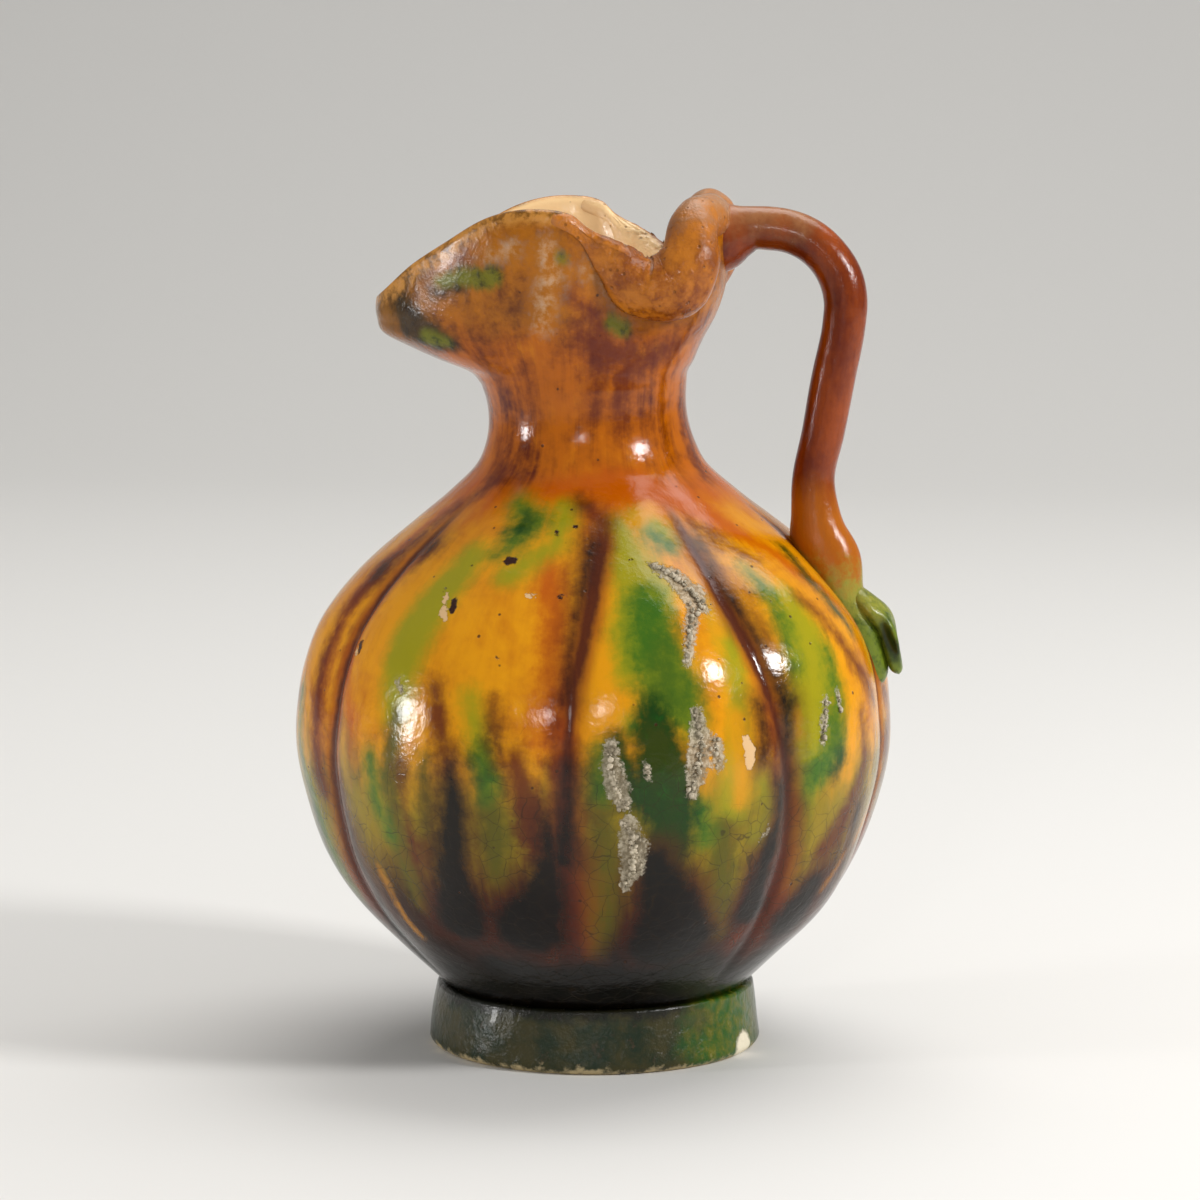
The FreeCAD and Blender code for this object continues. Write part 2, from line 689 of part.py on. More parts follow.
def tail_stations():
    """The tail, from the base down the slope of the shoulder."""
    stations = [base_stations()[-1]]
    top = stations[0][0].z
    for drop_share, outward_share, depth_share, width_share in TAIL_SHARES:
        height = top - number("Sizes.tail_drop") * drop_share
        along = shoulder_reach(height) + number("Sizes.tail_half_depth") * outward_share
        half_depth = number("Sizes.tail_half_depth") * depth_share
        half_width = number("Sizes.tail_half_width") * width_share
        stations.append((Vector(along, 0, height), half_depth, half_width))
    return stations


def leaf_solid():
    """The leaf, on the lower half of the tail."""
    before, end = [station[0] for station in tail_stations()[-2:]]
    slope = (end - before).normalize()
    outward = Vector(-slope.z, 0, slope.x)
    start = end - slope * number("Sizes.leaf_length") * LEAF_START_SHARE
    stations = []
    for along_share, outward_share, depth_share, width_share in LEAF_SHARES:
        centre = start + slope * number("Sizes.leaf_length") * along_share
        centre = centre + outward * number("Sizes.tail_half_depth") * outward_share
        half_depth = number("Sizes.leaf_half_depth") * depth_share
        stations.append((centre, half_depth, number("Sizes.leaf_half_width") * width_share))
    return pulled(course_through([station[0] for station in stations]), stations)


def foot_course():
    """One course for the base and the tail, tangent to the shank."""
    centres = [station[0] for station in base_stations() + tail_stations()[1:]]
    turned, end, landing = handle_corners()[-3:]
    return course_through(centres, InitialTangent=shank_heading(turned, landing))


handle_loop = make_handle_loop()
base_form = shape_feature("handle_base_form", pulled(foot_course(), base_stations()))
tail_form = shape_feature("handle_tail_form", pulled(foot_course(), tail_stations()))
leaf_form = shape_feature("tail_leaf_form", leaf_solid())
handle_root = cut("handle_root", handle_root_form(), rim_roll, mouth_outside)
handle_base = cut("handle_base", base_form, pot_form)
handle_tail = cut("handle_tail", tail_form, pot_form, base_form)
tail_leaf = cut("tail_leaf", leaf_form, pot_form, tail_form)

# Every piece under its own name, checked and written
SUB_PARTS = (
    foot_ring,
    body_bowl,
    body_shoulder,
    neck,
    mouth_wall,
    rim_roll,
    handle_root,
    handle_loop,
    handle_base,
    handle_tail,
    tail_leaf,
)
doc.recompute()
for item in doc.Objects:
    if "Invalid" in item.State or "Error" in item.State:
        raise RuntimeError(f"{item.Name} failed to compute")
for piece in SUB_PARTS:
    piece.Label = piece.Name
    if piece.Shape.isNull() or not piece.Shape.isValid() or len(piece.Shape.Solids) != 1:
        raise RuntimeError(f"{piece.Name} is not one valid solid: {len(piece.Shape.Solids)}")
os.makedirs("parts", exist_ok=True)
for piece in SUB_PARTS:
    piece.Shape.exportStep(f"parts/{piece.Label}.step")
    print(f"{piece.Label}: {piece.Shape.Volume:.0f} mm3, centre {piece.Shape.CenterOfGravity}")
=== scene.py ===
# %% [markdown]
# # A splashed-glaze oinochoe jug
#
# This lesson dresses a small lobed pouring jug: it was thrown round, its lobes were pressed in, its mouth
# was pinched and folded, and a handle was pulled and pressed on. The glaze is what the eye meets first:
# amber round the neck, golden yellow and green down the lobes, and near black where it ran together,
# deepened low down by painted shade.
# The frame is the imported model of the jug. It gives every size here, and each piece takes its place from it.

import math
import random

import bmesh
import bpy
import numpy as np
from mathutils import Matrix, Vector
from mathutils.bvhtree import BVHTree


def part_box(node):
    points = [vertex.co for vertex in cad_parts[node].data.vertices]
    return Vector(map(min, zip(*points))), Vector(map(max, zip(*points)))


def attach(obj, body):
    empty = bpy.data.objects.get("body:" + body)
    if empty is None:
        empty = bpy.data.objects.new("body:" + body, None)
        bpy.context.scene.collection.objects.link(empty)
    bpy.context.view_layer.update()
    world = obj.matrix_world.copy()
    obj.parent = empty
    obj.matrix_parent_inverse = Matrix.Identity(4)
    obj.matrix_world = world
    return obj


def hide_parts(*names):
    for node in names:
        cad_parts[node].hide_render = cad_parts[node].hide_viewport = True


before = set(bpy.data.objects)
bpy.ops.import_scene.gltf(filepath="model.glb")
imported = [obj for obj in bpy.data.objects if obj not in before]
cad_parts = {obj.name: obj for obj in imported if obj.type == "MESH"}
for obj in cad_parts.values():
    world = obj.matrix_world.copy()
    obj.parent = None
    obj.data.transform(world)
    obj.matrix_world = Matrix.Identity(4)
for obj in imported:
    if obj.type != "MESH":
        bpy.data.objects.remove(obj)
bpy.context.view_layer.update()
MM = 0.001
print("pieces in the frame:", sorted(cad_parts))

# %% [markdown]
# ## The camera
#
# The photograph was taken from a little above the jug and a little round towards its handle, with a long
# lens. The camera comes first, because the places on the glaze are pointed at through it.

# %% Camera
CAMERA_TURN = math.radians(7.0)
CAMERA_RISE = math.radians(8.0)
CAMERA_AWAY = 600.0
LENS_MM = 144.0
SENSOR_MM = 36.0
PHOTO_PIXELS = 1200
AIM = np.array((0.6, 0.0, 56.0))

camera_right = np.array((math.cos(CAMERA_TURN), math.sin(CAMERA_TURN), 0.0))
camera_back = np.array(
    (
        math.sin(CAMERA_TURN) * math.cos(CAMERA_RISE),
        -math.cos(CAMERA_TURN) * math.cos(CAMERA_RISE),
        math.sin(CAMERA_RISE),
    )
)
camera_up = np.cross(camera_back, camera_right)
camera_place = AIM + camera_back * CAMERA_AWAY

bpy.ops.object.select_all(action="DESELECT")
bpy.ops.object.camera_add(location=camera_place * MM)
camera = bpy.context.object
camera.name = "camera"
camera.data.lens = LENS_MM
camera.data.sensor_width = SENSOR_MM
camera.data.clip_end = 20.0
camera.rotation_euler = Vector(camera_back).to_track_quat("Z", "Y").to_euler()
bpy.context.scene.camera = camera
print("camera at", [round(float(v), 1) for v in camera_place], "mm")

# %% [markdown]
# ## Pointing at the jug through the photograph
#
# A splash of glaze is placed by the pixel where the photograph shows it. A line from the camera through
# that pixel meets the jug's own surface, and that point in space is what the glaze is painted round, so
# the pattern lies on the clay and stays there from every side.

# %% Through the lens
SIDE_STEP, MOST_STEPS, JUG_MIDDLE = 4, 12, 595
corner_places, corner_rings = [], []
for cad_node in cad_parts.values():
    shape = cad_node.data
    flat = np.empty(len(shape.vertices) * 3, np.float32)
    shape.vertices.foreach_get("co", flat)
    shape.calc_loop_triangles()
    rings = np.empty(len(shape.loop_triangles) * 3, np.int32)
    shape.loop_triangles.foreach_get("vertices", rings)
    corner_rings.append(rings.reshape(-1, 3) + sum(len(places) for places in corner_places))
    corner_places.append(flat.reshape(-1, 3))
all_corners, all_rings = np.concatenate(corner_places), np.concatenate(corner_rings)
jug_surface = BVHTree.FromPolygons(all_corners.tolist(), all_rings.tolist())


def on_jug(across, down):
    """The point of the jug, in mm, at a pixel of the photograph; just beside it, the point of its edge."""
    unit = PHOTO_PIXELS * LENS_MM / SENSOR_MM
    for _ in range(MOST_STEPS):
        sideways, upwards = (across - PHOTO_PIXELS / 2) / unit, (PHOTO_PIXELS / 2 - down) / unit
        sight = Vector(camera_right * sideways + camera_up * upwards - camera_back).normalized()
        met = jug_surface.ray_cast(Vector(camera_place * MM), sight)[0]
        if met is not None:
            return np.array(met) / MM
        across += SIDE_STEP * (1 if across < JUG_MIDDLE else -1)
    raise ValueError(f"pixel {across}, {down} is beside the jug")


print("belly's middle:", on_jug(595, 740).round(1), "neck:", on_jug(590, 450).round(1))

# %% [markdown]
# ## The thrown pot
#
# A potter throws the pot round, then presses the lobes and pinches the mouth. It is made here in the same
# order: an outline of the wall is drawn, spun round the axis, and every point is then moved to where the
# fingers pushed it. The tables are the jug's own rings, as shares of its sizes, bottom to top.

# %% Sizes of the pot
foot_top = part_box("foot_ring")[1].z / MM
belly_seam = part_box("body_bowl")[1].z / MM
neck_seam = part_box("body_shoulder")[1].z / MM
mouth_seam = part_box("neck")[1].z / MM
mouth_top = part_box("mouth_wall")[1].z / MM
bowl_height, shoulder_height = belly_seam - foot_top, neck_seam - belly_seam
neck_height, mouth_height = mouth_seam - neck_seam, mouth_top - mouth_seam
BASE_RADIUS, BELLY_RADIUS, NECK_BASE_RADIUS = 19.0, 37.4, 14.0
WAIST_RADIUS, MOUTH_BASE_RADIUS = 12.3, 12.8
GROOVE_DEPTH, BODY_WALL, NECK_WALL, LIP_WALL = 1.2, 3.0, 2.8, 1.9
FLOOR_HEIGHT, FLOOR_RADIUS, LEAN = foot_top + 3.2, 16.0, 1.4
BACK_REACH, BEAK_REACH, HALF_WIDTH, BEAK_DROP = 18.4, 25.9, 16.4, 11.8
ABOVE_RIM = 3.0
print("seams at", [round(v, 1) for v in (foot_top, belly_seam, neck_seam, mouth_seam, mouth_top)])

# %% Rings of the pot
# Bowl: share of its height, of its swell and of the grooves' depth
BOWL_SHARES = (
    (0.00, 0.00, 0.00), (0.16, 0.29, 0.35), (0.32, 0.56, 0.70),
    (0.52, 0.78, 1.00), (0.76, 0.93, 1.00), (1.00, 1.00, 1.00),
)
# Shoulder: the same, and the share of the lean
SHOULDER_SHARES = (
    (0.14, 0.99, 1.00, 0.00), (0.27, 0.96, 1.00, 0.00), (0.45, 0.86, 1.00, 0.00), (0.62, 0.66, 0.85, 0.00),
    (0.80, 0.345, 0.25, 0.06), (0.89, 0.175, 0.08, 0.18), (1.00, 0.00, 0.00, 0.42),
)
# Neck: share of its height, of the flare to its base, of the flare to the mouth, of the lean
NECK_SHARES = (
    (0.22, 0.42, 0.00, 0.52), (0.55, 0.03, 0.02, 0.70), (0.82, 0.00, 0.30, 0.86), (1.00, 0.00, 1.00, 1.00),
)
# The hollow: share of the height and of the swell, in the bowl and in the shoulder
HOLLOW_BOWL_SHARES = ((0.00, 0.00), (0.12, 0.28), (0.28, 0.57), (0.48, 0.80), (0.74, 0.94), (1.00, 1.00))
HOLLOW_SHOULDER_SHARES = (
    (0.14, 0.985), (0.27, 0.94), (0.45, 0.82), (0.62, 0.605), (0.80, 0.30), (0.89, 0.145), (1.00, 0.00),
)


def smooth_through(places, levels, at):
    """A smooth line through points, read at other places."""
    places, levels = np.asarray(places, float), np.asarray(levels, float)
    steps = np.diff(places)
    slopes = np.diff(levels) / steps
    inner = (slopes[:-1] * steps[1:] + slopes[1:] * steps[:-1]) / (steps[1:] + steps[:-1])
    tangents = np.concatenate(([slopes[0]], inner, [slopes[-1]]))
    at = np.clip(at, places[0], places[-1])
    index = np.clip(np.searchsorted(places, at, side="right") - 1, 0, len(steps) - 1)
    step = steps[index]
    share = (at - places[index]) / step
    left = (1 - share) ** 2
    start = (1 + 2 * share) * left * levels[index] + share * left * step * tangents[index]
    end = share**2 * (3 - 2 * share) * levels[index + 1] + share**2 * (share - 1) * step * tangents[index + 1]
    return start + end


def rings_of(shares, low, tall, narrow, wide):
    """Rings of a wall: a height and a radius from the first two shares of each, then its other shares."""
    return [(low + tall * up, narrow + (wide - narrow) * out, *others) for up, out, *others in shares]


def neck_flare(flare_down, flare_up):
    """The neck's outer radius for shares of its two flares."""
    flare = (NECK_BASE_RADIUS - WAIST_RADIUS) * flare_down
    return WAIST_RADIUS + flare + (MOUTH_BASE_RADIUS - WAIST_RADIUS) * flare_up


hollow_belly = BELLY_RADIUS - GROOVE_DEPTH - BODY_WALL
throat = NECK_BASE_RADIUS - NECK_WALL
bowl_rings = rings_of(BOWL_SHARES, foot_top, bowl_height, BASE_RADIUS, BELLY_RADIUS)
outside_rings = [(*ring, 0.0) for ring in bowl_rings]
outside_rings += rings_of(SHOULDER_SHARES, belly_seam, shoulder_height, NECK_BASE_RADIUS, BELLY_RADIUS)
hollow_height = belly_seam - FLOOR_HEIGHT
inside_rings = rings_of(HOLLOW_BOWL_SHARES, FLOOR_HEIGHT, hollow_height, FLOOR_RADIUS, hollow_belly)
inside_rings += rings_of(HOLLOW_SHOULDER_SHARES, belly_seam, shoulder_height, throat, hollow_belly)
for up, flare_down, flare_up, lean in NECK_SHARES:
    height, radius = neck_seam + neck_height * up, neck_flare(flare_down, flare_up)
    outside_rings.append((height, radius, 0.0, lean))
    inside_rings.append((height, radius - NECK_WALL))
outside_rings = np.array(outside_rings + [(mouth_top + ABOVE_RIM, MOUTH_BASE_RADIUS, 0.0, 1.0)])
inside_rings = np.array(inside_rings + [(mouth_top + ABOVE_RIM, MOUTH_BASE_RADIUS - LIP_WALL)])


def ring_value(rings, index, height):
    """What the rings say at a height."""
    return smooth_through(rings[:, 0], rings[:, index], height)


def outside_radius(height):
    """The thrown pot's outer radius at a height."""
    return ring_value(outside_rings, 1, height)


def inside_radius(height):
    """The radius of the hollow at a height."""
    return ring_value(inside_rings, 1, height)


print(len(outside_rings), "rings outside,", len(inside_rings), "inside")

# %% [markdown]
# The outline runs from the middle of the underside out and up to the lip, over it, and down the inside to
# the middle of the floor. Its points lie close together on the outside, where the glaze is seen.

# %% Draw the wall's outline
OUTSIDE_SPACING, INSIDE_SPACING, HIDDEN_SPACING = 0.55, 1.3, 2.0
FINE_STEPS, LIP_POINTS, COLUMNS = 400, 9, 480


def spaced(radius_at, low, high, spacing, keep):
    """Heights a given way apart along an outline, with the seams among them."""
    heights = []
    stops = [low] + [seam for seam in keep if low < seam < high] + [high]
    for start, end in zip(stops, stops[1:]):
        fine = np.linspace(start, end, FINE_STEPS)
        travelled = np.concatenate(([0], np.cumsum(np.hypot(np.diff(fine), np.diff(radius_at(fine))))))
        count = max(2, int(travelled[-1] / spacing))
        heights += list(np.interp(np.linspace(0, travelled[-1], count + 1)[:-1], travelled, fine))
    return np.array(heights + [high])


seams = (belly_seam, neck_seam, mouth_seam)
lip = LIP_WALL / 2
lip_middle = np.array((MOUTH_BASE_RADIUS - lip, mouth_top - lip))
going_up = spaced(outside_radius, foot_top, mouth_top - lip, OUTSIDE_SPACING, seams)
going_down = spaced(inside_radius, FLOOR_HEIGHT, mouth_top - lip, INSIDE_SPACING, seams)[::-1]
outline = [(radius, foot_top) for radius in np.arange(0, BASE_RADIUS - 0.5, HIDDEN_SPACING)]
outline += list(zip(outside_radius(going_up), going_up))
for turn in np.linspace(0, math.pi, LIP_POINTS)[1:-1]:
    outline.append((lip_middle[0] + lip * math.cos(turn), lip_middle[1] + lip * math.sin(turn)))
outline += list(zip(inside_radius(going_down), going_down))
outline += [(radius, FLOOR_HEIGHT) for radius in np.arange(0, FLOOR_RADIUS - 0.5, HIDDEN_SPACING)[::-1]]
print("outline:", len(outline), "points")


# %% Spin the wall
def new_piece(name, corners, edges=(), faces=()):
    """A piece made of corners in mm and of the edges or faces between them."""
    mesh = bpy.data.meshes.new(name)
    mesh.from_pydata([tuple(corner) for corner in np.array(corners, float) * MM], edges, faces)
    piece = bpy.data.objects.new(name, mesh)
    bpy.context.scene.collection.objects.link(piece)
    return piece


def spun(name, profile, columns):
    """A closed turned form: an outline of radii and heights in mm, spun round the axis."""
    steps = [(i, i + 1) for i in range(len(profile) - 1)]
    piece = new_piece(name, [(radius, 0, height) for radius, height in profile], edges=steps)
    bpy.ops.object.select_all(action="DESELECT")
    bpy.context.view_layer.objects.active = piece
    piece.select_set(True)
    bpy.ops.object.mode_set(mode="EDIT")
    bpy.ops.mesh.select_all(action="SELECT")
    bpy.ops.mesh.spin(steps=columns, angle=2 * math.pi, center=(0, 0, 0), axis=(0, 0, 1))
    bpy.ops.mesh.select_all(action="SELECT")
    bpy.ops.mesh.remove_doubles(threshold=0.00001)
    bpy.ops.mesh.normals_make_consistent(inside=False)
    bpy.ops.object.mode_set(mode="OBJECT")
    return piece


pot = spun("pot", outline, COLUMNS)
print("thrown pot:", len(pot.data.vertices), "points,", len(pot.data.polygons), "faces")

# %% [markdown]
# ## Pressing the lobes and pinching the mouth
#
# Each groove is a soft hollow that a finger drew up the wall, so it isn't quite straight. The mouth opens
# from the round neck to a pinched outline with a beak, and its rim falls away towards the beak.

# %% Where the fingers went
# Grooves: heights in mm, and the direction of the groove there, in degrees from the handle
GROOVES = (
    ((8, -5.0), (73, -5.0)),
    ((8, 40.0), (73, 41.0)),
    ((8, 86.0), (73, 84.0)),
    ((8, 129.0), (73, 131.0)),
    ((8, 175.0), (73, 176.0)),
    ((8, 213.0), (32, 213.5), (45, 215.5), (59, 217.0), (73, 221.0)),
    ((8, 271.0), (34, 271.0), (50, 272.6), (62, 277.0), (73, 282.0)),
    ((8, 318.5), (29, 318.8), (43, 315.4), (50, 312.5), (59, 308.5), (73, 306.0)),
)
# The mouth from above, from its back round one side to its beak: shares of its reach and of its half width
MOUTH_OUTLINE_SHARES = (
    (1.00, 0.00), (0.96, 0.25), (0.865, 0.45), (0.70, 0.56), (0.51, 0.61), (0.307, 0.78), (0.00, 0.97),
    (-0.16, 1.00), (-0.37, 0.92), (-0.58, 0.77), (-0.78, 0.56), (-0.94, 0.30), (-1.00, 0.00),
)
# How far the mouth has opened at shares of its height: to the front, to the back, to the sides, and its pinch
MOUTH_OUTSIDE_SHARES = (
    (0.00, 0.00, 0.00, 0.00, 0.00), (0.07, 0.11, 0.04, 0.05, 0.08), (0.135, 0.40, 0.19, 0.13, 0.20),
    (0.205, 0.68, 0.31, 0.25, 0.33), (0.275, 0.93, 0.45, 0.38, 0.46), (0.36, 1.00, 0.64, 0.52, 0.62),
    (0.52, 1.00, 0.88, 0.75, 0.86), (0.75, 1.00, 1.00, 0.97, 1.00), (1.06, 1.00, 1.00, 1.06, 1.00),
)
MOUTH_INSIDE_SHARES = (
    (0.00, 0.00, 0.00, 0.00, 0.00), (0.12, 0.10, 0.16, 0.10, 0.12), (0.20, 0.34, 0.30, 0.22, 0.28),
    (0.275, 0.66, 0.45, 0.35, 0.42), (0.345, 0.92, 0.60, 0.48, 0.56), (0.43, 1.00, 0.76, 0.62, 0.72),
    (0.60, 1.00, 0.95, 0.83, 0.92), (0.80, 1.00, 1.00, 0.98, 1.00), (1.10, 1.00, 1.00, 1.06, 1.00),
)
# How far the rim has dropped, from the beak to the back
RIM_SHARES = (
    (-1.15, 1.16), (-0.98, 0.94), (-0.80, 0.61), (-0.62, 0.36), (-0.41, 0.10), (-0.15, 0.00),
    (0.02, 0.06), (0.16, 0.27), (0.32, 0.52), (0.46, 0.64), (0.60, 0.64), (0.71, 0.46),
    (0.81, 0.22), (0.91, 0.15), (1.12, 0.14),
)
RIM_TRIES = 40
print(len(GROOVES), "grooves")


# %% Shapes of the mouth and of the grooves
def column(table, index):
    """One column of a table of shares."""
    return [row[index] for row in table]


def mixed(start, end, share):
    """The value a share of the way from start to end."""
    return start + (end - start) * share


def mouth_skin(turn, height, table, thinner_base, thinner_lip):
    """Where a skin of the pinched mouth lies: along and across, for turns from the back and heights."""
    rise = (height - mouth_seam) / mouth_height
    rises = column(table, 0)
    front, back, wide, pinch = [smooth_through(rises, column(table, i), rise) for i in (1, 2, 3, 4)]
    base = MOUTH_BASE_RADIUS - thinner_base
    half_turn = np.abs(turn)
    to_back = mixed(base, BACK_REACH - thinner_lip, back)
    to_front = mixed(base, BEAK_REACH - thinner_lip, front)
    even_turns = np.linspace(0, math.pi, len(MOUTH_OUTLINE_SHARES))
    columns = column(MOUTH_OUTLINE_SHARES, 0), column(MOUTH_OUTLINE_SHARES, 1)
    along_share, across_share = [smooth_through(even_turns, shares, half_turn) for shares in columns]
    reach = np.where(half_turn < math.pi / 2, to_back, to_front)
    along = reach * mixed(np.cos(half_turn), along_share, pinch) - LEAN
    across = mixed(base, HALF_WIDTH - thinner_lip, wide) * mixed(np.sin(half_turn), across_share, pinch)
    return along, across * np.sign(turn)


def rim_height(along):
    """The height of the rim over a place along the mouth."""
    share = (along + LEAN) / np.where(along + LEAN > 0, BACK_REACH, BEAK_REACH)
    return mouth_top - BEAK_DROP * smooth_through(column(RIM_SHARES, 0), column(RIM_SHARES, 1), share)


def rim_over(turn):
    """The rim's height for a turn: where the opening wall meets the falling rim, by ever nearer tries."""
    height = np.full_like(turn, mouth_top - BEAK_DROP / 2)
    for _ in range(RIM_TRIES):
        along = mouth_skin(turn, height, MOUTH_OUTSIDE_SHARES, 0, 0)[0]
        height = height * 0.6 + rim_height(along) * 0.4
    return height


def grooves_at(turn, height):
    """How far in mm the nearest groove lies, and half the degrees between the grooves on both sides."""
    degrees = np.degrees(turn) % 360
    lines = [np.interp(height, column(groove, 0), column(groove, 1)) % 360 for groove in GROOVES]
    signed = np.array([((degrees - line + 180) % 360) - 180 for line in lines])
    ahead = np.where(signed <= 0, -signed, 360).min(0)
    behind = np.where(signed >= 0, signed, 360).min(0)
    return np.radians(np.abs(signed).min(0)) * outside_radius(height), (ahead + behind) / 2


def hand_waves(points, seed, longest, shortest, count=26):
    """Soft uneven waves, as a hand leaves them, between -1 and 1 at points in mm."""
    dice = np.random.default_rng(seed)
    total = np.zeros(len(points))
    for _ in range(count):
        heading = dice.normal(size=3)
        heading /= np.linalg.norm(heading)
        length = dice.uniform(shortest, longest)
        total += np.sin(points @ heading * (2 * math.pi / length) + dice.uniform(0, 2 * math.pi))
    return total / math.sqrt(count / 2) / 2


print("rim over the back and over the beak:", rim_over(np.array((0.0, math.pi))).round(1))

# %% Press the lobes and pinch the mouth
GROOVE_SOFTNESS, PRESSED_LINE_DEPTH, PRESSED_LINE_WIDTH, WOBBLE, MOUTH_MIDDLE = 0.9, 0.28, 0.9, 0.22, 14


def pressed(points):
    """The pressed and pinched place of every point of the thrown pot, and how far it is inside the wall."""
    along, across, height = points.T
    radius, turn = np.hypot(along, across), np.arctan2(across, along)
    outer, inner = outside_radius(height), inside_radius(height)
    skin = np.clip((outer - radius) / np.maximum(outer - inner, 0.1), 0, 1)
    skin = np.where(height < foot_top + 0.01, 0.0, skin)
    gap, half = grooves_at(turn, height)
    softened = np.sqrt(gap**2 + GROOVE_SOFTNESS**2) - GROOVE_SOFTNESS
    lobe = np.clip(1 - softened / np.maximum(np.radians(half) * outer, 1.0), 0, 1)
    line = PRESSED_LINE_DEPTH / GROOVE_DEPTH * np.exp(-((gap / PRESSED_LINE_WIDTH) ** 2))
    sunk = ring_value(outside_rings, 2, height) * GROOVE_DEPTH * (lobe**2 + line)
    uneven = hand_waves(points, 3, 34, 11) * WOBBLE * np.clip((height - foot_top) / 6, 0, 1)
    radius = radius + (uneven - sunk * (1 - skin)) * np.clip(radius / np.maximum(outer, 1), 0, 1)
    lean = ring_value(outside_rings, 3, height) * LEAN
    body = np.stack((radius * np.cos(turn) - lean, radius * np.sin(turn), height), 1)
    raised = mouth_seam + (height - mouth_seam) * (rim_over(turn) - mouth_seam) / mouth_height
    outer_skin = mouth_skin(turn, raised, MOUTH_OUTSIDE_SHARES, 0, 0)
    inner_skin = mouth_skin(turn, raised, MOUTH_INSIDE_SHARES, NECK_WALL, LIP_WALL)
    waves = 1 + uneven / MOUTH_MIDDLE
    along, across = [mixed(*sides, skin) * waves for sides in zip(outer_skin, inner_skin)]
    return np.where((height > mouth_seam)[:, None], np.stack((along, across, raised), 1), body), skin


def read_points(piece):
    """A piece's points in mm."""
    flat = np.empty(len(piece.data.vertices) * 3)
    piece.data.vertices.foreach_get("co", flat)
    return flat.reshape(-1, 3) / MM


def write_points(piece, points):
    """Moves a piece's points to places in mm."""
    piece.data.vertices.foreach_set("co", (points * MM).ravel())
    piece.data.update()


pot_points, pot_skin = pressed(read_points(pot))
write_points(pot, pot_points)
print("pressed pot:", pot_points.min(0).round(1), pot_points.max(0).round(1))

# %% [markdown]
# ## Glaze fields
#
# Where each colour lies is worked out once for every point of the jug, as soft fields: 1 in the middle of a
# splash, 0 at its edge and below 0 outside. The material later cuts these fields with fine noise, which
# gives edges that are crisp, ragged and still in the right place. A stroke is a run of pixels of the
# photograph with a half width in pixels, as a glazing brush would lay it.

